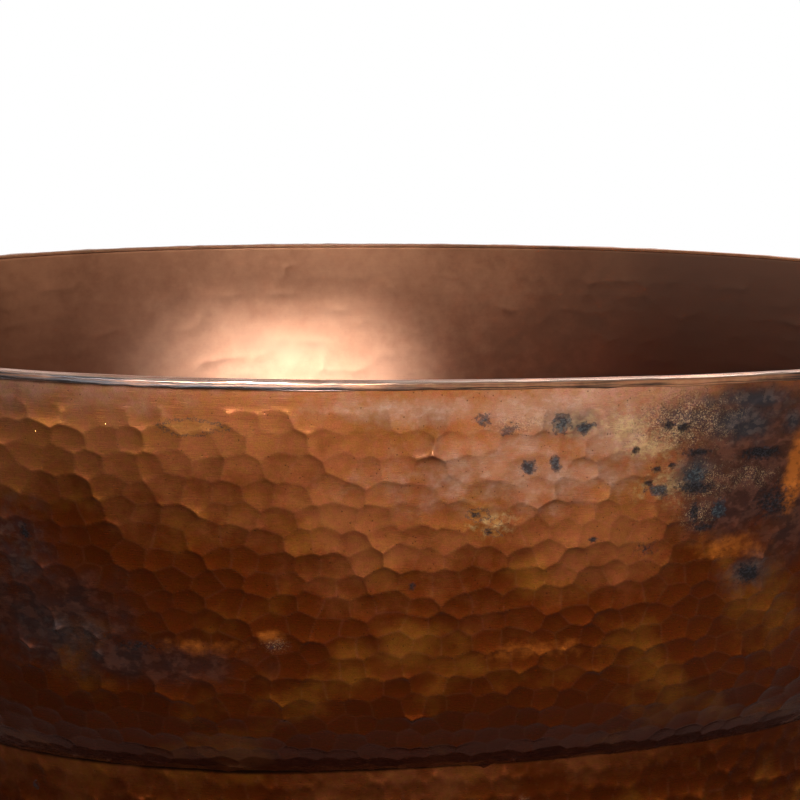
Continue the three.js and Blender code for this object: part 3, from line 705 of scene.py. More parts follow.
@dataclass(frozen=True)
class OakFinish(Finish):
    """Oiled, sawn oak with its grain along the beam and its rings across it."""

    slot = Slot.OAK
    early: Colour = (0.50, 0.30, 0.135)
    late: Colour = (0.27, 0.135, 0.050)
    pore: Colour = (0.085, 0.045, 0.020)
    fleck: Colour = (0.62, 0.43, 0.24)
    roughness: float = 0.52

    def drawn(self, graph: Graph, place: Value) -> dict[str, object]:
        """Draws the rings, the fibres, the flecks and the pores, with worn edges and saw marks.

        Args:
            graph: The material's graph.
            place: The object's coordinates.

        Returns:
            What to feed the Principled shader.
        """
        along = graph.stretched(place, (1.0, 0.06, 1.0))
        bend = (graph.noise(along, 9.0, 3.0, 0.5) - 0.5) * 0.05
        push = graph.value("VectorMath", 0, {"operation": "SCALE"}, _0=(1.0, 0.0, 1.0), Scale=bend)
        moved = graph.value("VectorMath", 0, {"operation": "ADD"}, _0=along, _1=push)
        kind = {"wave_type": "RINGS", "rings_direction": "Y", "wave_profile": "SAW"}
        wander = {"Distortion": 1.4, "Detail": 3.0, "Detail_Scale": 1.5}
        rings = graph.value("TexWave", "Fac", kind, Vector=moved, Scale=46.0, **wander)
        fibre = graph.noise(graph.stretched(place, (1.0, 0.03, 1.0)), 1100.0, 3.0, 0.7)
        pores = graph.noise(graph.stretched(place, (1.0, 0.09, 1.0)), 620.0, 2.0, 0.5).span(0.62, 0.70)
        flecks = graph.noise(graph.stretched(place, (0.4, 0.5, 1.0)), 260.0, 2.0, 0.5)
        colour = graph.mix(rings.span(0.35, 0.95), self.early, self.late)
        colour = graph.mix(fibre.span(0.35, 0.65, 0.0, 0.35), colour, self.late)
        colour = graph.mix(flecks.span(0.66, 0.72, 0.0, 0.5), colour, self.fleck)
        colour = graph.mix(pores * 0.75, colour, self.pore)
        wear = WEAR.into(graph, Vector=place, Scale=60.0)
        kind = {"bands_direction": "Y", "wave_profile": "SIN"}
        wander = {"Distortion": 2.0, "Detail": 2.0, "Detail_Scale": 4.0}
        saw = graph.value("TexWave", "Fac", kind, Vector=place, Scale=70.0, **wander)
        return {
            "Base_Color": graph.mix(wear["Edge"] * 0.35, colour, self.fleck),
            "Roughness": fibre.span(0.3, 0.7, self.roughness - 0.08, self.roughness + 0.12),
            "Normal": graph.bump(0.5, 0.0005, fibre * 0.5 - pores + saw * 0.35),
        }


COPPER = CopperFinish("beaten copper")
BRASS = BrassFinish("aged brass")
CAST = BrassFinish("cast brass", roughness=0.36, age=0.42, turned=0.02)
RUBBER = RubberFinish("black rubber")
OAK = OakFinish("oiled oak")


# The tub's own shape.


@dataclass(frozen=True)
class Oval:
    """The tub's plan: a superellipse that shrinks towards its spine as the inset grows.

    A distance round the plan is measured along the rim's outline, from the middle of the front towards
    the head end.
    """

    middle: float
    half_length: float
    half_width: float
    fullness: float = 2.3
    samples: int = 16384

    def reach(self, angle: Array) -> Array:
        """How far the rim's outline lies from the middle in a direction.

        Args:
            angle: Directions from the middle.

        Returns:
            The distances.
        """
        along = np.abs(np.cos(angle) / self.half_length) ** self.fullness
        across = np.abs(np.sin(angle) / self.half_width) ** self.fullness
        return (along + across) ** (-1 / self.fullness)

    @cached_property
    def turns(self) -> tuple[Array, Array]:
        """Measures the outline once round.

        Returns:
            The directions and the distances.
        """
        angle = np.linspace(-1.5 * math.pi, 0.5 * math.pi, self.samples + 1)
        reach = self.reach(angle)
        steps = np.hypot(np.diff(reach * np.cos(angle)), np.diff(reach * np.sin(angle)))
        distance = np.concatenate([[0.0], np.cumsum(steps)])
        return angle, distance - distance[-1] / 2

    @property
    def around(self) -> float:
        """The length of the rim's outline."""
        return float(2 * self.turns[1][-1])

    def direction(self, along: Array) -> Array:
        """The direction from the middle at a distance round the outline.

        Args:
            along: Distances round it.

        Returns:
            The directions.
        """
        laps = np.floor(along / self.around + 0.5)
        angle, distance = self.turns
        return np.interp(along - laps * self.around, distance, angle) + 2 * math.pi * laps

    def place(self, along: Array, inset: Array) -> tuple[Array, Array]:
        """Places that lie round the rim, or inside it.

        Args:
            along: Distances round the rim.
            inset: How far inside the rim each outline lies.

        Returns:
            The x and y of each place.
        """
        angle = self.direction(along)
        reach = self.reach(angle)
        x = (self.half_length - inset) * reach * np.cos(angle) / self.half_length
        y = (self.half_width - inset) * reach * np.sin(angle) / self.half_width
        return x + self.middle, y

    def distance_to(self, x: float, y: float) -> float:
        """Finds how far round the rim a place lies.

        Args:
            x: The place along the tub.
            y: The place across it.

        Returns:
            The distance.
        """
        towards = math.atan2(y, x - self.middle)
        angle, distance = self.turns
        return float(np.interp(towards if towards <= math.pi / 2 else towards - 2 * math.pi, angle, distance))


@dataclass(frozen=True)
class Profile:
    """The outer face of a sheet in section, measured down along it from its top."""

    wall_top: float
    sheet: ClassVar[float] = 2.5 * MM
    lead: ClassVar[float] = 0.0

    def points(self) -> Array:
        """The inset and the height of places down the face."""
        raise NotImplementedError

    @cached_property
    def line(self) -> Array:
        """Measures the face.

        Returns:
            Rows of distances down, insets, heights and the two parts of the direction.
        """
        points = self.points()
        steps = np.diff(points, axis=0)
        down = np.concatenate([[0.0], np.cumsum(np.hypot(steps[:, 0], steps[:, 1]))]) - self.lead
        return np.stack([down, *points.T, *np.gradient(points, down, axis=0).T])

    def place(self, down: Array, depth: float) -> tuple[Array, Array]:
        """Places that lie down the face, or inside the metal.

        Args:
            down: Distances down the face.
            depth: How far inside the metal, from that face.

        Returns:
            The inset and the height of each place.
        """
        table, inset, height, inwards, upwards = self.line
        x = np.interp(down, table, inset) - depth * np.interp(down, table, upwards)
        z = np.interp(down, table, height) + depth * np.interp(down, table, inwards)
        return x, z


@dataclass(frozen=True)
class Section(Profile):
    """The shell's outer face from the top of the wall, down round the turn and in along the floor."""

    overhang: float
    turn_top: float = 280 * MM
    turn_reach: float = 138 * MM
    turn_handle: float = 0.55
    floor: float = 120 * MM
    slope: float = WALL_SLOPE
    above: float = 20 * MM
    samples: int = 3000

    def wall_inset(self, height: float) -> float:
        """How far inside the rim's outline the wall stands at a height."""
        return self.overhang + (self.wall_top - height) * math.tan(self.slope)

    @property
    def lead(self) -> float:
        """How far the face is carried on above the top of the wall."""
        return self.above / math.cos(self.slope)

    def points(self) -> Array:
        """The straight wall, the turn as a cubic curve, and the level floor.

        Returns:
            The insets and the heights.
        """
        start = self.wall_inset(self.turn_top)
        low = self.turn_top - self.turn_handle * (self.turn_top - self.floor)
        corners = (
            (start, self.turn_top),
            (self.wall_inset(low), low),
            (start + (1 - self.turn_handle) * self.turn_reach, self.floor),
            (start + self.turn_reach, self.floor),
        )
        t = np.linspace(0, 1, self.samples)[:, None]
        weights = ((1 - t) ** 3, 3 * t * (1 - t) ** 2, 3 * t * t * (1 - t), t**3)
        turn = sum(weight * np.array(corner) for weight, corner in zip(weights, corners))
        height = np.linspace(self.wall_top + self.above, self.turn_top, self.samples, endpoint=False)
        wall = np.stack([self.wall_inset(height), height], axis=1)
        inset = np.linspace(0, 0.5, self.samples)[1:] + start + self.turn_reach
        return np.concatenate([wall, turn, np.stack([inset, np.full_like(inset, self.floor)], axis=1)])

    @property
    def wall_length(self) -> float:
        """The distance down the face to the foot of the wall."""
        return (self.wall_top - self.turn_top) / math.cos(self.slope)

    @property
    def turn_end(self) -> float:
        """The distance down the face to where the turn meets the level floor."""
        return float(np.interp(self.wall_inset(self.turn_top) + self.turn_reach, self.line[1], self.line[0]))


@dataclass(frozen=True)
class SkirtSection(Profile):
    """The plinth's outer face, which curves out from under the tub to its foot."""

    foot: float = 13.6 * MM
    top_inset: float = 112 * MM
    foot_inset: float = 90 * MM
    samples: int = 400

    def points(self) -> Array:
        """One curve from the top, which starts upright.

        Returns:
            The insets and the heights.
        """
        t = np.linspace(0, 1, self.samples)[:, None]
        top = np.array((self.top_inset, self.wall_top))
        bend = np.array((self.top_inset, (self.wall_top + self.foot) / 2 - 10 * MM))
        foot = np.array((self.foot_inset, self.foot))
        return (1 - t) ** 2 * top + 2 * t * (1 - t) * bend + t * t * foot

    @property
    def wall_length(self) -> float:
        """The distance down the face to its foot."""
        return float(self.line[0][-1])


# Hammer marks.


def held(values: Array) -> Array:
    """Values held between 0 and 1."""
    return np.clip(values, 0, 1)


def eased(values: Array) -> Array:
    """Values held between 0 and 1, with a soft start and end."""
    share = held(values)
    return share * share * (3 - 2 * share)


def ripple(distance: Array, around: float, wavelength: float, seed: int) -> Array:
    """A smooth wander between -1 and 1 that closes on itself.

    Args:
        distance: Distances along the loop.
        around: The loop's length.
        wavelength: The distance between its random heights.
        seed: The seed of those heights.

    Returns:
        The wander at each distance.
    """
    knots = max(3, round(around / wavelength))
    heights = np.random.default_rng(seed).uniform(-1, 1, knots)
    place = np.mod(distance / around, 1.0) * knots
    before = np.floor(place).astype(int)
    share = eased(place - before)
    return heights[before % knots] * (1 - share) + heights[(before + 1) % knots] * share


@dataclass
class Relief:
    """What a field of hammer marks does at each place."""

    height: Array
    ridge_highlight: Array
    tone: Array


@dataclass(frozen=True)
class HammerMarks:
    """Rows of overlapping hollows that lie like fish scales, each struck deeper at its top than its foot."""

    pitch_along: float = 30 * MM
    pitch_down: float = 24.5 * MM
    reach: float = 0.70
    hollow: float = 1.30 * MM
    wall: float = 0.34 * MM
    lean: float = 0.50 * MM
    lean_to: float = 0.35
    uneven: float = 0.07 * MM
    jitter: float = 0.26
    variety: float = 0.15
    softness: float = 0.11 * MM
    ridge_width: float = 0.14 * MM
    seed: int = 11
    rows: int = 48

    def relief(self, along: Array, down: Array, around: float) -> Relief:
        """Beats the field.

        Args:
            along: Distances along the sheet.
            down: Distances down it, of the same shape.
            around: The distance after which the rows close on themselves.

        Returns:
            The height over the sheet, the ridges that carry a painted highlight, and the tone of each mark.
        """
        columns = round(around / self.pitch_along)
        pitch = around / columns
        spots = np.random.default_rng(self.seed).uniform(-1, 1, (self.rows, columns, 6))
        row = np.floor(down / self.pitch_down).astype(int)
        best = np.full(along.shape, np.inf)
        second = np.full(along.shape, np.inf)
        tone = np.zeros(along.shape)
        soft = np.zeros(along.shape)
        for line in (row + step for step in range(-2, 3)):
            offset = 0.5 * (line % 2)
            column = np.floor(along / pitch - offset).astype(int)
            for place in (column + step for step in range(-2, 3)):
                spot = spots[line % self.rows, place % columns]
                left = along - (place + 0.5 + offset + self.jitter * spot[..., 0]) * pitch
                below = down - (line + 0.5 + self.jitter * spot[..., 1]) * self.pitch_down
                level = self.mark(left / pitch, below / self.pitch_down, spot)
                first = level < best
                second = np.where(first, best, np.minimum(second, level))
                tone = np.where(first, 0.5 + 0.5 * spot[..., 5], tone)
                best = np.where(first, level, best)
                soft += np.exp(-np.minimum(level + self.hollow, 8 * self.hollow) / self.softness)
        height = -self.softness * np.log(soft) - self.hollow
        return Relief(height, np.exp(-(((second - best) / self.ridge_width) ** 2)), tone)

    def mark(self, left: Array, below: Array, spot: Array) -> Array:
        """The height of one mark's surface.

        Args:
            left: Places across it, in pitches from its middle.
            below: Places down it, in pitches from its middle.
            spot: Its six random numbers.

        Returns:
            The height at each place.
        """
        reach = self.reach * (1 + self.variety * spot[..., 2])
        turn = 0.5 * spot[..., 3]
        across = (left * np.cos(turn) + below * np.sin(turn)) / reach
        upright = (below * np.cos(turn) - left * np.sin(turn)) / reach
        square = across**2 + upright**2
        tilt = self.lean_to + 0.5 * spot[..., 4]
        slant = (below * np.cos(tilt) - left * np.sin(tilt)) / self.reach
        depth = self.uneven * (1 + spot[..., 5])
        return self.hollow * square + self.wall * square**4 + self.lean * slant - depth


# Stains.


def from_front(along: Array, around: float) -> Array:
    """The shorter way round to each place from the middle of the front, less than 0 to its left."""
    return np.mod(along + around / 2, around) - around / 2


@dataclass(frozen=True)
class Spot:
    """One stain on the outer face: its place round the tub and below the rim, and its size."""

    blemish: Blemish
    along: float
    drop: float
    width: float
    height: float
    strength: float = 1.0
    slant: float = 0.0

    def presence(self, along: Array, drop: Array, around: float) -> Array:
        """How strongly the stain is felt at each place.

        Args:
            along: Distances round the tub.
            drop: Distances below the rim.
            around: The distance once round.

        Returns:
            Values from 0 to the stain's strength.
        """
        left = from_front(along - self.along, around)
        below = drop - self.drop
        turn = math.radians(self.slant)
        across = (left * math.cos(turn) + below * math.sin(turn)) / self.width
        upright = (below * math.cos(turn) - left * math.sin(turn)) / self.height
        return self.strength * np.exp(-(across**2 + upright**2))


# The stains that give the front its character: how far each lies to the right of its middle and below
# the rim, how wide and high it is, in millimetres, how strong, and how many degrees it slants. A pale
# film lies under the rim, a dark one at the right, and a gritty crust where they meet.
FRONT_STAINS = {
    Blemish.BLOOM: (
        (50, 28, 80, 24, 0.86), (118, 50, 50, 34, 0.84), (-80, 24, 100, 16, 0.66), (30, 62, 30, 20, 0.62),
        (30, 88, 150, 42, 0.54),
    ),
    Blemish.GILT: (
        (128, 46, 20, 14, 0.95), (154, 66, 26, 11, 0.95), (82, 40, 34, 12, 0.66), (176, 52, 26, 12, 0.7),
        (4, 142, 24, 14, 0.46), (185, 108, 34, 20, 0.56),
    ),
    Blemish.PLUM: (
        (262, 60, 85, 70, 1.15), (262, 125, 70, 50, 1.05), (325, 130, 50, 80, 0.95),
        (-450, 28, 80, 34, 0.42), (-450, 250, 110, 70, 0.74), (-350, 300, 110, 30, 0.8),
    ),
    Blemish.DUSK: (
        (252, 46, 34, 20, 1.1), (250, 22, 60, 12, 0.9), (306, 48, 12, 12, 1), (205, 95, 20, 22, 0.96),
        (185, 36, 30, 16, 0.66), (290, 215, 30, 22, 0.76), (75, 40, 30, 14, 0.6), (-470, 180, 40, 60, 0.44),
        (-440, 280, 80, 40, 0.48),
    ),
    Blemish.EMBER: (
        (323, 105, 13, 42, 1.3), (262, 184, 50, 20, 0.5), (-219, 266, 18, 10, 0.62),
        (-290, 278, 60, 12, 0.42), (60, 290, 80, 14, 0.44),
    ),
    Blemish.GRIT: (
        (182, 42, 52, 26, 1), (214, 108, 38, 22, 0.66), (270, 105, 30, 14, 0.6), (219, 142, 18, 16, 0.74),
        (20, 40, 34, 10, 0.46), (-215, 276, 14, 8, 0.7),
    ),
    Blemish.SLATE: (
        (34, 84, 8, 8, 1, -35), (60, 81, 5.5, 10, 1, -20), (63, 40, 10.5, 11.5, 0.86, 10),
        (86, 45, 11, 6, 0.86, -15), (-13, 34, 9, 7, 0.74), (12, 45, 9, 7, 0.66), (206, 100, 13, 13, 0.92),
        (170, 114, 13, 6.5, 0.92, 10), (240, 140, 9, 12, 0.88),
    ),
    Blemish.LACE: (
        (-288, 43, 30, 9.5, 0.92), (-262, 42, 16, 6, 0.66, 10), (-13, 133, 13, 8, 0.9),
        (6, 141, 7, 4.5, 0.84), (3, 153, 11, 4.5, 0.84, 20),
    ),
    Blemish.SOOT: (
        (171, 45, 8, 6, 0.9), (185, 47, 8, 6, 0.9), (277, 80, 26, 8.5, 0.9), (205, 75, 20, 5.5, 0.8),
        (210, 113, 24, 7, 0.9), (158, 106, 6, 6, 0.84), (166, 91, 6, 4, 0.8), (181, 88, 6, 4, 0.76),
        (140, 70, 5, 4.5, 0.9), (213, 141, 6, 16, 0.8), (228, 158, 14, 6, 0.8), (306, 136, 30, 24, 0.66),
        (290, 217, 16, 12, 0.92, 20), (-463, 162, 6, 10, 0.84), (-15, 133, 7, 5, 0.8),
        (-1, 152, 6, 4, 0.74), (108, 165, 5, 4, 0.86), (-76, 210, 4.5, 4.5, 0.86), (165, 178, 16, 12, 0.46),
        (-360, 282, 30, 8, 0.56),
    ),
}
FRONT_SPOTS = tuple(
    Spot(blemish, *(size * MM for size in row[:4]), *row[4:])
    for blemish, rows in FRONT_STAINS.items()
    for row in rows
)


@dataclass(frozen=True)
class Weather:
    """The ageing of the whole outer face: named spots at the front, and chance ones all round."""

    spots: tuple[Spot, ...] = FRONT_SPOTS
    chance: int = 54
    clear_from: float = -0.52
    clear_to: float = 0.42
    depth: float = 300 * MM
    seed: int = 5
    base: float = -0.10

    def all_spots(self, around: float) -> list[Spot]:
        """The named spots and a scatter of chance ones outside the stretch that those cover.

        Args:
            around: The distance once round the tub.

        Returns:
            All the spots.
        """
        rng = np.random.default_rng(self.seed)
        spots = list(self.spots)
        kinds = tuple(Blemish)
        while len(spots) < len(self.spots) + self.chance:
            along = float(rng.uniform(-around / 2, around / 2))
            kind = kinds[int(rng.integers(len(kinds)))]
            drop = float(rng.beta(1.1, 2.2)) * self.depth + 0.015
            broad = kind in (Blemish.BLOOM, Blemish.PLUM, Blemish.DUSK, Blemish.EMBER)
            size = float(rng.uniform(0.02, 0.07) if broad else rng.uniform(0.006, 0.024))
            flat = float(rng.uniform(0.4, 1.0))
            strength = float(rng.uniform(0.45, 0.85))
            if self.clear_from < along < self.clear_to:
                continue
            spots.append(Spot(kind, along, drop, size, size * flat, strength, float(rng.uniform(-40, 40))))
        return spots

    def rim_darkening(self, along: Array, around: float) -> Array:
        """How much darker the rim and the wall under it are along the rim: most at the front's left.

        Args:
            along: Distances round the rim.
            around: The distance once round.

        Returns:
            Values of about 0 to 1.
        """
        left = from_front(along, around)
        swell = 0.25 * ripple(along, around, 0.11, self.seed + 3)
        return held((0.05 - left) / 0.35) * held((left + 1.3) / 0.5) + swell

    def grime_and_shade(self, along: Array, drop: Array, around: float) -> Array:
        """How dark the wall is just under the rim: dirt there, and painted shade under the rim's overhang."""
        depth = (4.5 + 5.5 * held(self.rim_darkening(along, around))) * MM
        return 1.15 * held(1 - drop / depth) ** 0.7

    def channels(self, along: Array, drop: Array, around: float) -> dict[str, Array]:
        """Every blemish's presence, and the age of the metal, which also holds painted shade: darker towards
        the bottom and both sides of the front.

        Args:
            along: Distances round the tub.
            drop: Distances below the rim.
            around: The distance once round.

        Returns:
            Values by the name of the vertex attribute that holds them.
        """
        channels = unstained(along.shape)
        for spot in self.all_spots(around):
            name = spot.blemish.value
            channels[name] = np.maximum(channels[name], spot.presence(along, drop, around))
        # Painted shade along with darker patina: the age grows towards the bottom and towards both sides of
        # the front.
        left = from_front(along, around)
        to_left = held((0.05 - left) / 0.50) * held((left + 1.2) / 0.5) * 0.20
        to_right = held((left - 0.10) / 0.22) * held((0.9 - left) / 0.45) * 0.30
        wander = 0.06 * ripple(along, around, 0.31, self.seed + 1)
        sides = (to_left + to_right) * held(0.3 + drop / 0.25)
        channels["age"] = held(drop / 0.30) * 0.60 + sides + wander + self.base
        return channels


def unstained(shape: tuple[int, ...]) -> dict[str, Array]:
    """No presence of any blemish, by the name of its vertex attribute."""
    return {blemish.value: np.zeros(shape) for blemish in Blemish}


# Meshes.


@contextmanager
def edited(mesh: Mesh) -> Iterator[BMesh]:
    """Opens a mesh for editing and writes it back.

    Args:
        mesh: The mesh.

    Yields:
        Its editable form.
    """
    work = bmesh.new()
    work.from_mesh(mesh)
    yield work
    work.to_mesh(mesh)
    work.free()


def link(data: ID, name: str) -> Object:
    """Wraps a mesh, a lamp or a camera in an object of the scene.

    Args:
        data: The mesh, lamp or camera.
        name: The object's name.

    Returns:
        The object.
    """
    piece = bpy.data.objects.new(name, data)
    bpy.context.scene.collection.objects.link(piece)
    return piece


def add_piece(mesh: Mesh, name: str, finish: Finish, nodes: Sequence[str], body: Body = Body.TUB) -> None:
    """Makes a mesh a piece of the tub, dresses it and ties it to the construction.

    Args:
        mesh: The piece's mesh, in place.
        name: Its name.
        finish: Its finish.
        nodes: The construction's nodes that it stands for.
        body: The body that it rides on.
    """
    piece = link(mesh, name)
    mesh.materials.clear()
    mesh.materials.append(finish.material)
    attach(piece, body.value)
    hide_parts(*nodes)
    log.info("%s: %d faces on %s", name, len(mesh.polygons), body.value)


def add_uv(mesh: Mesh, name: str, values: Array) -> None:
    """Adds a UV map from one pair of values for each vertex.

    Args:
        mesh: The mesh.
        name: The map's name.
        values: A pair for each vertex.
    """
    layer = mesh.uv_layers.new(name=name)
    loops = np.empty(len(mesh.loops), int)
    mesh.loops.foreach_get("vertex_index", loops)
    layer.uv.foreach_set("vector", values[loops].astype(np.float32).reshape(-1))


def keep(mesh: Mesh, channels: dict[str, Array]) -> None:
    """Keeps values on a mesh's vertices, each under its name.

    Args:
        mesh: The mesh.
        channels: Values by name.
    """
    for key, values in channels.items():
        attribute = mesh.attributes.new(key, "FLOAT", "POINT")
        attribute.data.foreach_set("value", values.reshape(-1).astype(np.float32))


def smooth(mesh: Mesh) -> None:
    """Shades every face smooth."""
    mesh.polygons.foreach_set("use_smooth", np.ones(len(mesh.polygons), bool))


def face_outwards(mesh: Mesh) -> None:
    """Points the faces of a closed mesh outwards."""
    with edited(mesh) as work:
        bmesh.ops.recalc_face_normals(work, faces=work.faces)


def dress(mesh: Mesh, sharp: float = math.radians(32)) -> None:
    """Points a closed mesh's faces outwards and shades it smooth between its sharp edges.

    Args:
        mesh: The mesh.
        sharp: The least angle of a sharp edge.
    """
    face_outwards(mesh)
    smooth(mesh)
    mesh.set_sharp_from_angle(angle=sharp)


def looped(name: str, places: Array, along: Array, girth: Array) -> Mesh:
    """The mesh of a band that closes on itself.

    Args:
        name: The mesh's name.
        places: The band's places: columns along it, and points round its section.
        along: The distance along it to each column.
        girth: The distance round the section to each place.

    Returns:
        The mesh, with its course coordinates.
    """
    number = np.arange(girth.size).reshape(girth.shape)
    beside = np.roll(number, -1, axis=0)
    faces = np.stack([number, np.roll(number, -1, axis=1), np.roll(beside, -1, axis=1), beside], axis=-1)
    mesh = bpy.data.meshes.new(name)
    mesh.from_pydata(places.reshape(-1, 3).tolist(), [], faces.reshape(-1, 4).tolist())
    course = np.stack([np.broadcast_to(along[:, None], girth.shape), girth], axis=-1)
    add_uv(mesh, COURSE, course.reshape(-1, 2))
    return mesh


@dataclass
class Skin:
    """One face of a sheet as a grid of places: rows down it, columns along it."""

    places: Array
    normals: Array
    course: Array
    channels: dict[str, Array] = field(default_factory=dict)

    @property
    def shape(self) -> tuple[int, int]:
        """The grid's rows and columns."""
        return self.places.shape[:2]

    def part(self, *kept: slice) -> "Skin":
        """The stretch of the skin between some of its rows and columns."""
        channels = {key: values[kept] for key, values in self.channels.items()}
        return Skin(self.places[kept], self.normals[kept], self.course[kept], channels)


@dataclass
class Sheet:
    """A closed piece of sheet metal between two skins, with faces only where its cells are kept.

    The inner skin's steps are a whole number of the outer's. The columns of a closed sheet run once
    round and meet.
    """

    outside: Skin
    inside: Skin
    closed: bool = False
    kept: Array | None = None
    margin: float = 0.01

    def cells(self, shape: tuple[int, int]) -> list[Array]:
        """Numbers the corners of every cell of a grid.

        Args:
            shape: The grid's rows and columns.

        Returns:
            The cells' corners, in turn.
        """
        number = np.arange(np.prod(shape)).reshape(shape)
        if self.closed:
            number = np.concatenate([number, number[:, :1]], axis=1)
        return [number[:-1, :-1], number[1:, :-1], number[1:, 1:], number[:-1, 1:]]

    def mesh(self, name: str) -> Mesh:
        """Builds the mesh, with its course coordinates, its normals and what its skins keep.

        Args:
            name: The mesh's name.

        Returns:
            The mesh.
        """
        skins = (self.outside, self.inside)
        outer, inner = (self.cells(skin.shape) for skin in skins)
        first_inner = int(np.prod(self.outside.shape))
        kept = np.ones(outer[0].shape, bool) if self.kept is None else self.kept
        kept_inner = np.ones(inner[0].shape, bool) if self.kept is None else self.kept
        faces = np.stack([part[kept] for part in outer], axis=1).tolist()
        faces += (np.stack([part[kept_inner] for part in inner[::-1]], axis=1) + first_inner).tolist()
        ratio = (self.outside.shape[0] - 1) // (self.inside.shape[0] - 1)
        if ratio == 1:
            faces += self.walls(outer, kept, first_inner)
        else:
            faces += self.stitches(ratio, first_inner)
        mesh = bpy.data.meshes.new(name)
        mesh.from_pydata(np.concatenate([skin.places.reshape(-1, 3) for skin in skins]).tolist(), [], faces)
        add_uv(mesh, COURSE, np.concatenate([skin.course.reshape(-1, 2) for skin in skins]))
        add_uv(mesh, BAKE, np.concatenate([self.laid_out(skin, half) for half, skin in enumerate(skins)]))
        for key in self.outside.channels:
            keep(mesh, {key: np.concatenate([skin.channels[key].reshape(-1) for skin in skins])})
        smooth(mesh)
        normals = np.concatenate([skin.normals.reshape(-1, 3) for skin in skins])
        mesh.normals_split_custom_set_from_vertices(normals.tolist())
        if self.kept is not None:
            with edited(mesh) as work:
                loose = [vertex for vertex in work.verts if not vertex.link_faces]
                bmesh.ops.delete(work, geom=loose, context="VERTS")
        mesh.validate()
        return mesh

    def walls(self, cells: Sequence[Array], kept: Array, first_inner: int) -> list[list[int]]:
        """Faces that close the sheet's edges where both skins have the same grid.

        Args:
            cells: The corners of the outer grid's cells.
            kept: Which cells there are.
            first_inner: The number of the inner skin's first vertex.

        Returns:
            The faces, each as four vertex numbers.
        """
        padded = np.pad(kept, 1)
        if self.closed:
            padded[1:-1, 0] = kept[:, -1]
            padded[1:-1, -1] = kept[:, 0]
        top_left, bottom_left, bottom_right, top_right = cells
        sides = (
            (padded[:-2, 1:-1], top_left, top_right),
            (padded[2:, 1:-1], bottom_right, bottom_left),
            (padded[1:-1, :-2], bottom_left, top_left),
            (padded[1:-1, 2:], top_right, bottom_right),
        )
        faces = []
        for beside, start, end in sides:
            edge = kept & ~beside
            here, there = start[edge], end[edge]
            faces += np.stack([here, there, there + first_inner, here + first_inner], axis=1).tolist()
        return faces

    def stitches(self, ratio: int, first_inner: int) -> list[list[int]]:
        """Faces that close the edges of a sheet whose inner skin has longer steps.

        Args:
            ratio: How many outer steps make an inner one.
            first_inner: The number of the inner skin's first vertex.

        Returns:
            The faces, each as a row of vertex numbers.
        """
        shapes = (self.outside.shape, self.inside.shape)
        outer, inner = (np.arange(np.prod(shape)).reshape(shape) for shape in shapes)
        inner = inner + first_inner
        edges = (
            (outer[0], inner[0]),
            (outer[-1][::-1], inner[-1][::-1]),
            (outer[::-1, 0], inner[::-1, 0]),
            (outer[:, -1], inner[:, -1]),
        )
        faces = []
        for fine, coarse in edges:
            for step in range(len(coarse) - 1):
                run = fine[step * ratio : (step + 1) * ratio + 1].tolist()
                faces.append([*run, int(coarse[step + 1]), int(coarse[step])])
        return faces

    def laid_out(self, skin: Skin, half: int) -> Array:
        """Lays a skin out in the square that its finish is drawn on.

        Args:
            skin: The skin.
            half: 0 for the lower half of the square and 1 for the upper.

        Returns:
            The place of each vertex.
        """
        rows, columns = skin.shape
        across = np.linspace(self.margin, 1 - self.margin, columns)
        up = np.linspace(0.5 - self.margin, self.margin, rows) + 0.5 * half
        return np.stack(np.meshgrid(across, up), axis=-1).reshape(-1, 2)


def surface_normals(places: Array) -> Array:
    """The normals of a grid of places, pointing out of the tub on an outer skin."""
    normal = np.cross(np.gradient(places, axis=0), np.gradient(places, axis=1))
    return normal / np.linalg.norm(normal, axis=-1, keepdims=True)


def with_border(values: Array) -> Array:
    """Values with one more step before the first and after the last."""
    return np.concatenate([[2 * values[0] - values[1]], values, [2 * values[-1] - values[-2]]])


# The shell, the floor and the rim.


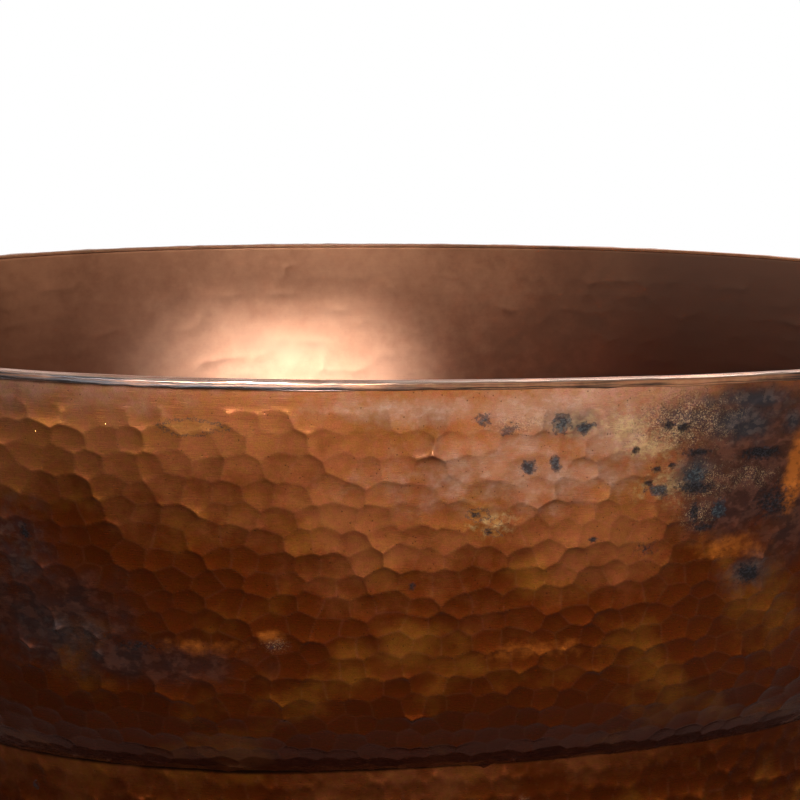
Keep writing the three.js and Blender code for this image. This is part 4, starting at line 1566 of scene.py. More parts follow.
@dataclass
class BeatenSheet:
    """Lays skins of hammered copper over the tub's plan and a section."""

    oval: Oval
    section: Profile
    weather: Weather
    outer_marks: HammerMarks
    inner_marks: HammerMarks
    smooth_band: float = 18 * MM
    band_blend: float = 17 * MM
    foot: float = math.inf
    # Where the painted shade on the lining starts and where it is full, along x.
    end_shade_from: float = 0.15
    end_shade_to: float = 0.50
    waver: float = 0.12 * MM
    inner_share: float = 0.35

    def skin(self, along: Array, down: Array, inner: bool) -> Skin:
        """One face of the sheet.

        Args:
            along: Distances round the rim.
            down: Distances down the outer face.
            inner: Whether it is the inner face.

        Returns:
            The skin, with its stains.
        """
        around, outwards = self.oval.around, -1 if inner else 1
        grid_along, grid_down = np.meshgrid(with_border(along), with_border(down))
        inset, height = self.section.place(grid_down, self.section.sheet if inner else 0.0)
        x, y = self.oval.place(grid_along, inset)
        base = np.stack([x, y, np.minimum(height, self.section.wall_top)], axis=-1)
        marks = self.inner_marks if inner else self.outer_marks
        relief = marks.relief(grid_along, grid_down, around)
        beaten = eased((grid_down - self.smooth_band) / self.band_blend)
        beaten = beaten * held((self.foot - grid_down) / self.band_blend)
        lift = relief.height * beaten + self.waver * ripple(grid_along, around, 0.045, 21)
        places = base + surface_normals(base) * (lift * outwards)[..., None]
        channels = self.weather.channels(grid_along, grid_down, around)
        if inner:
            channels = {key: self.inner_share * value for key, value in channels.items()}
        # Where the painted highlight on the ridges goes.
        channels["ridge_highlight"] = relief.ridge_highlight * beaten
        channels["tone"] = 0.5 + (relief.tone - 0.5) * beaten
        channels["lining"] = np.full(grid_down.shape, float(inner))
        # Painted shade on the inner face, growing towards the head end.
        channels["lining_end_shade"] = eased((x - self.end_shade_from) / (self.end_shade_to - self.end_shade_from)) * inner
        channels["polish_and_highlight"] = np.zeros(grid_down.shape)
        # Dirt and painted shade under the rim's overhang, on the outer face only.
        channels["grime_and_shade"] = self.weather.grime_and_shade(grid_along, grid_down, around) * (not inner)
        course = np.stack([grid_along, grid_down], axis=-1)
        skin = Skin(places, surface_normals(places) * outwards, course, channels)
        return skin.part(slice(1, -1), slice(1, -1))


@dataclass(frozen=True)
class Stretch:
    """A stretch of a wall and of the turn below it, and how finely its marks are modelled."""

    side: str
    name: str
    turn: str
    start: float
    end: float
    step: float
    ratio: int = 1


@dataclass
class Shell:
    """The walls and the turn below them, whose beaten surface runs on from one stretch to the next."""

    beaten: BeatenSheet
    seam: float
    overflow: Vector
    hole: float = 27 * MM
    fine_from: float = -0.50
    fine_to: float = 0.40
    fine_step: float = 1.5 * MM
    coarse_step: float = 3.2 * MM

    def stretches(self) -> list[Stretch]:
        """The stretches, from the waste end's seam round the front and the back.

        Returns:
            The stretches, in order.
        """
        around, seam = self.beaten.oval.around, self.seam
        last = around - seam
        third = (last - seam) / 3
        middle = (self.fine_from + self.fine_to) / 2
        coarse, fine = self.coarse_step, self.fine_step
        return [
            Stretch("front", "waste_end", "waste_end", last - around, self.fine_from, coarse),
            Stretch("front", "left", "middle", self.fine_from, middle, fine, 3),
            Stretch("front", "right", "middle", middle, self.fine_to, fine, 3),
            Stretch("front", "head_end", "head_end", self.fine_to, seam, coarse),
            Stretch("back", "head_end", "head_end", seam, seam + third, coarse),
            Stretch("back", "middle", "middle", seam + third, seam + 2 * third, coarse),
            Stretch("back", "waste_end", "waste_end", seam + 2 * third, last, coarse),
        ]

    def build(self) -> None:
        """Builds the walls, with the overflow's hole, and then the turn."""
        section = self.beaten.section
        for stretch in self.stretches():
            sheet = self.sheet(stretch, 0.0, section.wall_length)
            if stretch.ratio == 1:
                sheet.kept = self.clear_of_overflow(sheet.outside.places)
            name = f"{stretch.side}_wall_{stretch.name}"
            add_piece(sheet.mesh(name), name, COPPER, [f"{stretch.side}_wall_sheet"])
        for stretch in self.stretches():
            sheet = self.sheet(stretch, section.wall_length, section.turn_end)
            name = f"{stretch.side}_turn_{stretch.name}"
            add_piece(sheet.mesh(name), name, COPPER, [f"turn_{stretch.side}_{stretch.turn}"])

    def sheet(self, stretch: Stretch, low: float, high: float) -> Sheet:
        """Beats a stretch of the shell.

        Args:
            stretch: Where it runs.
            low: The distance down to its top.
            high: The distance down to its foot.

        Returns:
            The sheet.
        """
        ratio, step = stretch.ratio, stretch.step
        columns = ratio * math.ceil((stretch.end - stretch.start) / step / ratio)
        rows = ratio * math.ceil((high - low) / step / ratio)
        along = np.linspace(stretch.start, stretch.end, columns + 1)
        down = np.linspace(low, high, rows + 1)
        outside = self.beaten.skin(along, down, inner=False)
        return Sheet(outside, self.beaten.skin(along[::ratio], down[::ratio], inner=True))

    def clear_of_overflow(self, places: Array) -> Array:
        """Finds the cells of a wall that lie outside the overflow's hole.

        Args:
            places: The wall's grid of places.

        Returns:
            Whether each cell is kept.
        """
        middle = (places[:-1, :-1] + places[1:, 1:]) / 2
        away = middle - np.array(self.overflow)
        outside = np.hypot(away[..., 1], away[..., 2]) > self.hole
        return outside | (middle[..., 0] > self.overflow.x + 4 * self.hole)


@dataclass
class Floor:
    """The level floor sheet inside the turn, with the drain's hole in it."""

    beaten: BeatenSheet
    drain: Vector
    lap: float = 0.15 * MM
    hole: float = 24 * MM
    rows: int = 64
    columns: int = 560

    def skin(self, depth: float) -> Skin:
        """One face of the floor.

        Args:
            depth: How far above the underside it lies.

        Returns:
            The skin, whose rows run in from the edge to the middle.
        """
        oval, section = self.beaten.oval, self.beaten.section
        along = np.linspace(0, oval.around, self.columns, endpoint=False)
        edge = section.wall_inset(section.turn_top) + section.turn_reach - self.lap
        edge_x, edge_y = oval.place(along, np.full(self.columns, edge))
        share = np.linspace(1, 0.004, self.rows)[:, None]
        x = oval.middle + (edge_x - oval.middle) * share
        y = edge_y * share
        relief = self.beaten.inner_marks.relief(x + 1.0, y + 0.5, oval.around)
        beaten = held((1 - share) / 0.1) * (1 if depth else 0.4)
        near = np.hypot(x - self.drain.x, y - self.drain.y)
        beaten = beaten * held((near - 1.6 * self.hole) / (1.2 * self.hole))
        lift = relief.height * beaten
        places = np.stack([x, y, section.floor + depth + lift], axis=-1)
        up = 1.0 if depth else -1.0
        spread = 0.5 * (edge_x.max() - edge_x.min()) / self.rows
        lean = -np.gradient(lift, axis=0) / spread * np.sign(oval.middle - x) * up * 0.5
        normals = np.stack([lean, np.zeros(x.shape), np.full(x.shape, up)], axis=-1)
        normals /= np.linalg.norm(normals, axis=-1, keepdims=True)
        channels = unstained(x.shape) | {"ridge_highlight": relief.ridge_highlight * beaten, "tone": relief.tone}
        for key, value in (("age", 0.3), ("polish_and_highlight", 0.0), ("lining", float(depth > 0)), ("grime_and_shade", 0.0)):
            channels[key] = np.full(x.shape, value)
        return Skin(places, normals, np.stack([x, y], axis=-1), channels)

    def build(self) -> None:
        """Builds the floor with its hole."""
        sheet = Sheet(self.skin(0.0), self.skin(self.beaten.section.sheet), closed=True)
        places = sheet.outside.places
        away = np.hypot(places[..., 0] - self.drain.x, places[..., 1] - self.drain.y)
        beside = np.roll(away, -1, axis=1)
        sheet.kept = np.min((away[:-1], away[1:], beside[:-1], beside[1:]), axis=0) > self.hole
        add_piece(sheet.mesh("floor_bed"), "floor_bed", COPPER, ["floor_sheet"])


@dataclass
class OvalBand:
    """A band of one section, given in millimetres, that runs once round the tub's plan."""

    oval: Oval
    node: str
    corners: Outline
    rounding: float
    finish: Finish
    girth: float = 0.05
    columns: int = 720

    def build(self) -> None:
        """Builds the band."""
        section = np.array(rounded(self.corners, self.rounding)) * MM
        along = np.linspace(0, self.oval.around, self.columns, endpoint=False)
        x, y = self.oval.place(along[:, None], np.broadcast_to(section[:, 0], (self.columns, len(section))))
        places = np.stack([x, y, np.broadcast_to(section[:, 1], x.shape)], axis=-1)
        name = f"{self.node}_smooth"
        mesh = looped(name, places, along, np.broadcast_to(np.linspace(0, self.girth, len(section)), x.shape))
        dress(mesh)
        add_piece(mesh, name, self.finish, [self.node])


@dataclass
class RimBand:
    """The flat band brazed to the top of the walls, its outer lip beaten over in a wavy fold."""

    oval: Oval
    weather: Weather
    top: float
    step: float = 3.0 * MM
    curve_steps: int = 3
    lip_corner: float = 13.2

    def controls(self, along: Array) -> Array:
        """The section's corners at each distance round the rim.

        Args:
            along: Distances round the rim.

        Returns:
            An array of columns by corners by (inset, height over the top).
        """

        def wave(wavelength: float, seed: int) -> Array:
            """A wander round the rim."""
            return ripple(along, self.oval.around, wavelength, seed)

        crest = 0.50 * wave(0.034, 31) + 0.30 * wave(0.011, 32)
        dish = 0.25 * wave(0.060, 33)
        edge = 0.45 * wave(0.052, 34) + 0.24 * wave(0.014, 35)
        lip = 0.6 + 1.5 * wave(0.046, 36) + 0.8 * wave(0.017, 37)
        lap = 0.9 * wave(0.085, 38) + 0.6 * wave(0.021, 39)
        fold = 0.7 * wave(0.110, 40)
        corners = (
            (9.95, -4.95),
            (10.0, -2.6),
            (9.8, -0.7 + 0.3 * dish),
            (9.0, -0.12 + dish),
            (6.8, -0.12 + 0.6 * dish),
            (4.4, -0.20 + 0.5 * (dish + crest)),
            (2.9, -0.15 + 0.8 * crest),
            (1.9 + 0.5 * edge, -0.30 + crest),
            (0.9 + edge, -0.95 + crest),
            (0.25 + edge, -2.0 + 0.7 * crest),
            (0.25 + 0.7 * edge, -3.4 + 0.2 * crest),
            (0.05 + 0.8 * edge, -5.0 - lip),
            (0.75 + 0.5 * edge, -5.9 - lip),
            (2.0, -5.7 - 0.8 * lip),
            (3.4, -5.4 - 0.5 * lip),
            (3.9 + 0.3 * fold, -6.8 - 0.6 * lap - 0.4 * lip),
            (3.6 + 0.3 * fold, -8.0 - lap - 0.4 * lip),
            (4.4, -9.0 - lap - 0.3 * lip),
            (5.6, -9.0 - 0.9 * lap - 0.2 * lip),
            (6.5, -9.7 - 0.9 * lap),
            (7.3, -9.3 - 0.5 * lap),
            (7.3, -5.3),
            (8.4, -4.95),
        )
        rows = [np.stack(np.broadcast_arrays(*corner, along)[:2], axis=-1) for corner in corners]
        return np.stack(rows, axis=1) * MM

    def section(self, along: Array) -> Array:
        """The section's smooth closed curve through those corners, by Catmull-Rom.

        Args:
            along: Distances round the rim.

        Returns:
            An array of columns by points by (inset, height over the top).
        """
        corners = self.controls(along)
        before, after, beyond = (np.roll(corners, step, axis=1) for step in (1, -1, -2))
        terms = (
            2 * corners,
            after - before,
            2 * before - 5 * corners + 4 * after - beyond,
            3 * corners - before - 3 * after + beyond,
        )
        shares = np.arange(self.curve_steps) / self.curve_steps
        rows = [0.5 * sum(term * share**power for power, term in enumerate(terms)) for share in shares]
        return np.stack(rows, axis=2).reshape(len(along), -1, 2)

    def channels(self, along: Array, inset: Array, drop: Array) -> dict[str, Array]:
        """The band's age, its dirt with a painted shadow in the crease under its lip, and its polish with a
        painted highlight along its outer crest.

        Args:
            along: The distance round the rim to each column.
            inset: The inset of each place, in millimetres.
            drop: Its height over the top, in millimetres.

        Returns:
            Values by the name of the vertex attribute that holds them.
        """
        around = self.oval.around
        rim_darkening = held(self.weather.rim_darkening(along, around))[:, None]
        wander = ripple(along, around, 0.07, 98)[:, None]
        streaks = 0.16 * ripple(along, around, 0.03, 97)[:, None] + 0.14 * np.sin(2.2 * drop + 2.0 * wander)
        level = held(1 + (drop + 0.45) / 0.5)
        face = 1 - level
        outer = np.clip((5.5 - inset) / 3.0, 0.30, 1)
        corner = np.arange(inset.shape[1]) / self.curve_steps
        # Painted shadow in the crease under the lip.
        crevice = np.exp(-(((corner - self.lip_corner) / 1.7) ** 2))
        # Painted highlight along the outer crest of the lip.
        crest = np.exp(-(((inset - 1.5) / 0.9) ** 2 + ((drop + 0.5) / 0.7) ** 2))
        return unstained(inset.shape) | {
            Blemish.BLOOM.value: face * (0.50 - 0.4 * rim_darkening),
            Blemish.GILT.value: face * (0.42 - 0.3 * rim_darkening + streaks),
            "age": 0.10 + 0.20 * face * rim_darkening,
            "ridge_highlight": crest,
            "tone": np.full(inset.shape, 0.5),
            "lining": 0.7 * face,
            # Polish on the top face, and the painted highlight along the crest.
            "polish_and_highlight": np.maximum((0.58 - 0.32 * rim_darkening) * level * outer, 0.60 * crest),
            # Dirt on the lip's face, most at the front's left, and the painted shadow in the crease.
            "grime_and_shade": face * (0.22 + 0.60 * rim_darkening + streaks) + 0.80 * crevice,
        }

    def build(self) -> None:
        """Builds the band in one closed loop."""
        columns = round(self.oval.around / self.step)
        along = np.linspace(0, self.oval.around, columns, endpoint=False)
        section = self.section(along)
        inset, drop = section[..., 0], section[..., 1]
        x, y = self.oval.place(along[:, None], inset)
        steps = np.linalg.norm(np.diff(section, axis=1), axis=-1)
        girth = np.concatenate([np.zeros((columns, 1)), np.cumsum(steps, axis=1)], axis=1)
        mesh = looped("rim_band_beaten", np.stack([x, y, self.top + drop], axis=-1), along, girth)
        smooth(mesh)
        keep(mesh, self.channels(along, inset / MM, drop / MM))
        face_outwards(mesh)
        add_piece(mesh, "rim_band_beaten", COPPER, ["rim_band"])


# Turned, cast and sawn shapes, in millimetres.


def rounded(corners: Outline, rounding: float, steps: int = 3) -> list[Pair]:
    """Rounds the corners of a closed outline, except those on the axis.

    Args:
        corners: The outline's corners in order.
        rounding: How far from each corner its curve starts.
        steps: How many steps each curve takes.

    Returns:
        The rounded outline.
    """
    outline = []
    for here, corner in enumerate(corners):
        point = np.array(corner, float)
        if corner[0] == 0 or rounding == 0:
            outline.append((float(point[0]), float(point[1])))
            continue
        before = np.array(corners[here - 1], float) - point
        after = np.array(corners[(here + 1) % len(corners)], float) - point
        start = point + before * min(rounding / np.linalg.norm(before), 0.42)
        end = point + after * min(rounding / np.linalg.norm(after), 0.42)
        for share in np.linspace(0, 1, steps + 1):
            spot = (1 - share) ** 2 * start + 2 * share * (1 - share) * point + share**2 * end
            outline.append((float(spot[0]), float(spot[1])))
    return outline


def box_of(node: str) -> tuple[Vector, Vector]:
    """The lowest and the highest corner of a node's box, in millimetres."""
    low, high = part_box(node)
    return low / MM, high / MM


def middle_of(node: str) -> Vector:
    """The middle of a node's box, in metres."""
    low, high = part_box(node)
    return (low + high) / 2


@dataclass(frozen=True)
class Stand:
    """Where a form stands: its own +Z points along a direction."""

    place: Sequence[float] = (0.0, 0.0, 0.0)
    along: Point = (0.0, 0.0, 1.0)

    @property
    def matrix(self) -> Matrix:
        """The transform from the form's own axes."""
        turn = Vector((0, 0, 1)).rotation_difference(Vector(self.along))
        return Matrix.Translation(self.place) @ turn.to_matrix().to_4x4()


@dataclass
class Form:
    """A closed shape under construction."""

    mesh: Mesh

    @classmethod
    def turned(
        cls,
        outline: Outline,
        stand: Stand = Stand(),
        rounding: float = 0.5,
        flats: float = 0.0,
        facets: int = 96,
    ) -> "Form":
        """Turns an outline of radii and heights about the form's axis.

        Args:
            outline: The closed outline, whose points of no radius lie on the axis.
            stand: Where it stands.
            rounding: How far its corners are rounded.
            flats: The size across six flats that the turned shape is cut to; none when zero.
            facets: How many steps it takes once round.

        Returns:
            The form.
        """
        angles = [2 * math.pi * step / facets for step in range(facets)]
        sixth = math.pi / 3
        limits = [flats / 2 / math.cos((angle + sixth / 2) % sixth - sixth / 2) for angle in angles]
        work = bmesh.new()
        rings = []
        for radius, height in rounded(outline, rounding):
            if radius < 1e-6:
                rings.append([work.verts.new((0, 0, height))] * facets)
                continue
            ring = []
            for angle, limit in zip(angles, limits):
                reach = min(radius, limit) if flats else radius
                ring.append(work.verts.new((reach * math.cos(angle), reach * math.sin(angle), height)))
            rings.append(ring)
        cls.skinned(work, zip(rings, rings[1:] + rings[:1]))
        return cls.made(work, stand.matrix)

    @classmethod
    def rod(
        cls, radius: float, low: float, high: float, stand: Stand = Stand(), rounding: float = 0.4
    ) -> "Form":
        """A round rod between two heights on its axis."""
        return cls.turned([(0, low), (radius, low), (radius, high), (0, high)], stand, rounding)

    @classmethod
    def ring(
        cls, inside: float, outside: float, low: float, high: float, stand: Stand, rounding: float = 0.5
    ) -> "Form":
        """A tube or washer between two heights on its axis."""
        return cls.turned([(inside, low), (outside, low), (outside, high), (inside, high)], stand, rounding)

    @classmethod
    def strap(
        cls, start: Pair, end: Pair, radius: float, faces: Pair, rounding: float = 0.5, steps: int = 28
    ) -> "Form":
        """A flat link with round ends, square to y.

        Args:
            start: The middle of one end, in x and z.
            end: The middle of the other end.
            radius: The radius of both ends.
            faces: Where its two faces lie along y.
            rounding: How far its edges are rounded.
            steps: How many steps each end takes.

        Returns:
            The form.
        """
        ahead = math.atan2(end[1] - start[1], end[0] - start[0]) - math.pi / 2
        turns = [math.pi * step / steps for step in range(steps + 1)]
        around = [(end, ahead + turn) for turn in turns] + [(start, ahead + math.pi + turn) for turn in turns]
        near, far = faces
        work = bmesh.new()
        rings = []
        for reach, y in rounded([(0, near), (radius, near), (radius, far), (0, far)], rounding)[1:-1]:
            spots = [(x + reach * math.cos(turn), y, z + reach * math.sin(turn)) for (x, z), turn in around]
            rings.append([work.verts.new(spot) for spot in spots])
        cls.skinned(work, zip(rings, rings[1:]))
        work.faces.new(rings[0])
        work.faces.new(rings[-1])
        return cls.made(work, Matrix())

    @classmethod
    def block(
        cls, low: Sequence[float], high: Sequence[float], rounding: float, matrix: Matrix | None = None
    ) -> "Form":
        """A block with rounded edges.

        Args:
            low: Its lowest corner.
            high: Its highest corner.
            rounding: The radius of its edges.
            matrix: A transform to place it with.

        Returns:
            The form.
        """
        work = bmesh.new()
        bmesh.ops.create_cube(work, size=1.0)
        size = Vector(high) - Vector(low)
        bmesh.ops.scale(work, vec=size, verts=work.verts)
        bmesh.ops.translate(work, vec=Vector(low) + size / 2, verts=work.verts)
        if rounding:
            edges = work.edges[:]
            bmesh.ops.bevel(work, geom=edges, offset=rounding, segments=3, profile=0.5, affect="EDGES")
        return cls.made(work, matrix or Matrix())

    @staticmethod
    def skinned(work: BMesh, pairs: Iterable[tuple[list[BMVert], list[BMVert]]]) -> None:
        """Lays faces between pairs of rings, leaving out those that have no width.

        Args:
            work: The shape under construction.
            pairs: Rings of as many vertices each.
        """
        for ring, above in pairs:
            for step in range(len(ring)):
                beside = (step + 1) % len(ring)
                corners = dict.fromkeys((ring[step], ring[beside], above[beside], above[step]))
                if len(corners) > 2:
                    work.faces.new(tuple(corners))

    @classmethod
    def made(cls, work: BMesh, matrix: Matrix) -> "Form":
        """Ends a construction and places it.

        Args:
            work: The shape under construction.
            matrix: The transform to place it with.

        Returns:
            The form.
        """
        bmesh.ops.recalc_face_normals(work, faces=work.faces)
        mesh = bpy.data.meshes.new("form")
        work.to_mesh(mesh)
        work.free()
        mesh.transform(matrix)
        return cls(mesh)

    def worked(self, tune: Callable[[Object], None]) -> "Form":
        """This form after modifiers.

        Args:
            tune: Adds the modifiers to the object that it is given.

        Returns:
            The new form.
        """
        holder = link(self.mesh, "form")
        tune(holder)
        depsgraph = bpy.context.evaluated_depsgraph_get()
        mesh = bpy.data.meshes.new_from_object(holder.evaluated_get(depsgraph))
        bpy.data.objects.remove(holder)
        return Form(mesh)

    def combined(self, operation: str, others: Sequence["Form"]) -> "Form":
        """Joins other forms to this one or cuts them from it.

        Args:
            operation: What the boolean does.
            others: The other forms.

        Returns:
            The new form.
        """
        tools = [link(other.mesh, "tool") for other in others]

        def tune(holder: Object) -> None:
            """Adds one boolean for each tool.

            Args:
                holder: The object with the mesh.
            """
            for tool in tools:
                modifier = holder.modifiers.new("tool", "BOOLEAN")
                modifier.operation = operation
                modifier.solver = "EXACT"
                modifier.object = tool

        result = self.worked(tune)
        for tool in tools:
            bpy.data.objects.remove(tool)
        return result

    def joined(self, *others: "Form") -> "Form":
        """This form and others in one piece."""
        return self.combined("UNION", others)

    def cut(self, *others: "Form") -> "Form":
        """This form without what others cover."""
        return self.combined("DIFFERENCE", others)

    def cast(self, grain: float = 0.8, rounds: int = 4) -> "Form":
        """This form as a casting, whose edges and inner corners are all rounded.

        Args:
            grain: The casting's finest step.
            rounds: How often it is smoothed.

        Returns:
            The new form.
        """

        def tune(holder: Object) -> None:
            """Adds a remesh and its smoothing.

            Args:
                holder: The object with the mesh.
            """
            remesh = holder.modifiers.new("grain", "REMESH")
            remesh.mode = "VOXEL"
            remesh.voxel_size = grain
            soften = holder.modifiers.new("smooth", "SMOOTH")
            soften.factor = 0.5
            soften.iterations = rounds

        return self.worked(tune)

    def moved(self, move: Callable[[Array], Array]) -> "Form":
        """This form with every place passed through a function.

        Args:
            move: Takes the places and gives them back moved.

        Returns:
            The same form.
        """
        places = np.empty(3 * len(self.mesh.vertices))
        self.mesh.vertices.foreach_get("co", places)
        self.mesh.vertices.foreach_set("co", move(places.reshape(-1, 3)).reshape(-1))
        return self

    def placed(self, matrix: Matrix) -> "Form":
        """This form, carried by a transform."""
        self.mesh.transform(matrix)
        return self

    def piece(self, node: str, suffix: str, finish: Finish, body: Body = Body.TUB) -> None:
        """Makes the form the piece that stands for a node and is named after it.

        Args:
            node: The construction's node.
            suffix: What its name adds to the node's.
            finish: Its finish.
            body: The body that it rides on.
        """
        name = f"{node}_{suffix}"
        self.placed(Matrix.Scale(MM, 4))
        self.mesh.name = name
        dress(self.mesh)
        add_piece(self.mesh, name, finish, [node], body)


# The plinth and the bearers.


@dataclass
class Plinth:
    """The beaten skirt that the tub stands on, with its foot ring, rubber strip and pipe grommet."""

    oval: Oval
    pipe: Vector
    marks: HammerMarks
    soft_marks: HammerMarks
    # The higher base age darkens the whole plinth: painted shade under the tub, along with age.
    weather: Weather = Weather((), chance=26, depth=0.12, clear_from=1.0, clear_to=-1.0, seed=44, base=0.26)
    step: float = 3.4 * MM
    hole: float = 24.4 * MM
    lip_from: float = 22.0
    lip_lean: float = 0.17
    foot_ring: Outline = ((86, 3.3), (86, 13.3), (100, 13.3), (100, 3.3))
    strip: Outline = ((88, 0), (88, 3), (98, 3), (98, 0))

    def build(self) -> None:
        """Builds the skirt, the ring, the strip and the grommet."""
        self.skirt()
        OvalBand(self.oval, "foot_ring", self.foot_ring, 1.8, COPPER).build()
        OvalBand(self.oval, "foot_strip", self.strip, 0.6, RUBBER).build()
        self.grommet()

    def skirt(self) -> None:
        """Builds the skirt with the hole for the waste tube."""
        section = SkirtSection(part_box("plinth_front")[1].z)
        beaten = BeatenSheet(self.oval, section, self.weather, self.marks, self.soft_marks, 6 * MM, 8 * MM)
        length = section.wall_length
        along = np.linspace(0, self.oval.around, round(self.oval.around / self.step) + 1)
        down = np.linspace(0, length, round(length / self.step) + 1)
        once_round = (slice(None), slice(None, -1))
        skins = (beaten.skin(along, down, inner).part(*once_round) for inner in (False, True))
        sheet = Sheet(*skins, closed=True)
        away = sheet.outside.places - np.array(self.pipe)
        near = (np.hypot(away[..., 1], away[..., 2]) < self.hole) & (away[..., 0] < 0)
        beside = np.roll(near, -1, axis=1)
        sheet.kept = ~(near[:-1] & near[1:] & beside[:-1] & beside[1:])
        add_piece(sheet.mesh("plinth_beaten"), "plinth_beaten", COPPER, ["plinth_front", "plinth_back"])

    def grommet(self) -> None:
        """Builds the grommet, whose two lips follow the skirt's slope."""
        middle = middle_of("plinth_grommet") / MM
        waist = ((29.0, -5.9), (23.7, -5.9), (23.7, -2.3), (29.0, -2.3))
        outline = ((19.3, -9.5), (27.5, -9.5), (29.0, -7.5), *waist, (29.0, 0.0), (26.5, 2.5), (19.3, 2.5))

        def lean(places: Array) -> Array:
            """Leans the lips with the skirt.

            Args:
                places: The form's places.

            Returns:
                The same places, moved.
            """
            outer = np.hypot(places[:, 1], places[:, 2] - middle.z) > self.lip_from
            places[:, 0] += self.lip_lean * (places[:, 2] - middle.z) * outer
            return places

        form = Form.turned(outline, Stand(tuple(middle), (1, 0, 0)), 0.6).moved(lean)
        form.piece("plinth_grommet", "lipped", RUBBER)


@dataclass
class Bearers:
    """The three oak beams under the floor, on their rubber pads."""

    count: int = 3
    arris: float = 2.2
    pad_arris: float = 0.7

    def build(self) -> None:
        """Builds every beam and pad in its node's box, with its edges eased."""
        for number in range(1, self.count + 1):
            beam, pad = f"bearer_{number}", f"bearer_pad_{number}"
            for node, arris, finish in ((beam, self.arris, OAK), (pad, self.pad_arris, RUBBER)):
                low, high = box_of(node)
                Form.block(low, high, arris).piece(node, "eased", finish)


# The waste pipework.


@dataclass(frozen=True)
class Fitting:
    """The sizes that every socket and slip joint shares."""

    bore: float = 17.5
    pipe: float = 19.0
    socket_bore: float = 19.3
    socket: float = 23.0
    socket_depth: float = 22.0
    reach: float = 45.0
    gap: float = 0.3
    washer: float = 3.0
    grip: float = 12.0
    nut_lip: float = 3.0
    nut_wall: float = 4.0

    def passage(self, reach: float, stand: Stand, through: bool = False) -> Form:
        """Makes the tool that bores a fitting along a stand's axis.

        Args:
            reach: How far the socket's end is from the stand's place.
            stand: Where the bore starts, or its middle when it goes through.
            through: Whether it has a socket at both ends.

        Returns:
            The tool.
        """
        bore = self.bore if through else self.bore - 0.2
        shoulder, top = reach - self.socket_depth, reach + 2
        end = [(bore, shoulder), (self.socket_bore, shoulder), (self.socket_bore, top), (0.0, top)]
        start = [(0.0, 0.0), (bore, 0.0)]
        if through:
            start = [(radius, -height) for radius, height in reversed(end)]
        return Form.turned([*start, *end], stand, 0)

    def joint(self, name: str, stand: Stand) -> None:
        """Builds the slip nut and the washer on the end of a socket.

        Args:
            name: The joint's name in the construction.
            stand: The end of the socket, with its axis pointing out of it.
        """
        lip = self.gap + self.washer + self.gap
        top = lip + self.nut_lip
        flat = self.socket + self.nut_wall
        corner = flat / math.cos(math.pi / 6)
        inside = self.socket + self.gap
        outline = (
            (inside, -self.grip),
            (flat + 0.3, -self.grip),
            (corner, -self.grip + 2.0),
            (corner, top - 2.2),
            (flat, top),
            (self.socket_bore, top),
            (self.socket_bore, lip),
            (inside, lip),
        )
        Form.turned(outline, stand, 0.6, flats=2 * flat).piece(f"{name}_nut", "chamfered", BRASS)
        washer = Form.ring(self.socket_bore, self.socket, self.gap, self.gap + self.washer, stand)
        washer.piece(f"{name}_washer", "soft", RUBBER)


@dataclass
class WasteRun:
    """The tee, the drawn tubes between the fittings, and the tailpiece."""

    fitting: Fitting
    tube_x: float
    height: float
    bead: float = 1.1

    def build(self) -> None:
        """Builds the tee, its joints and the tubes."""
        middle = (self.tube_x, 0.0, self.height)
        self.tee(middle)
        for name, along in (("tee_top", (0, 0, 1)), ("tee_side", (1, 0, 0)), ("tee_bottom", (0, 0, -1))):
            place = tuple(start + self.fitting.reach * part for start, part in zip(middle, along))
            self.fitting.joint(name, Stand(place, along))
        for node in ("overflow_tube", "waste_tube", "tailpiece"):
            self.tube(node)

    def tee(self, middle: Point) -> None:
        """Builds the tee's casting and bores it.

        Args:
            middle: Where its axes cross.
        """
        level, upright = Stand(middle, (1, 0, 0)), Stand(middle)
        reach = self.fitting.reach
        body = Form.turned(self.branch(both=True), upright)
        body = body.joined(Form.turned(self.branch(both=False), level)).cast()
        run = self.fitting.passage(reach, upright, through=True)
        body.cut(run, self.fitting.passage(reach, level)).piece("waste_tee", "cast", CAST)

    def branch(self, both: bool) -> list[Pair]:
        """The outline of a branch of the tee, or of two opposite ones, with a bead behind each nut.

        Args:
            both: Whether there are two.

        Returns:
            The outline.
        """
        radius, reach = self.fitting.socket, self.fitting.reach
        bead = reach - self.fitting.grip - 3.0
        crown = radius + self.bead
        side = [(radius - 0.8, bead - 5.0), (crown, bead - 2.6), (crown, bead + 0.4), (radius, bead + 2.2)]
        side.append((radius, reach))
        low = [(x, -height) for x, height in reversed(side)] if both else [(radius - 0.8, 0.0)]
        return [(0.0, low[0][1]), *low, *side, (0.0, reach)]

    def tube(self, node: str) -> None:
        """Builds a drawn tube in its node's box.

        Args:
            node: The node.
        """
        low, high = box_of(node)
        size = high - low
        level = size.x > size.z
        half = (size.x if level else size.z) / 2
        stand = Stand(tuple((low + high) / 2), (1, 0, 0) if level else (0, 0, 1))
        Form.ring(self.fitting.bore, self.fitting.pipe, -half, half, stand).piece(node, "drawn", BRASS)


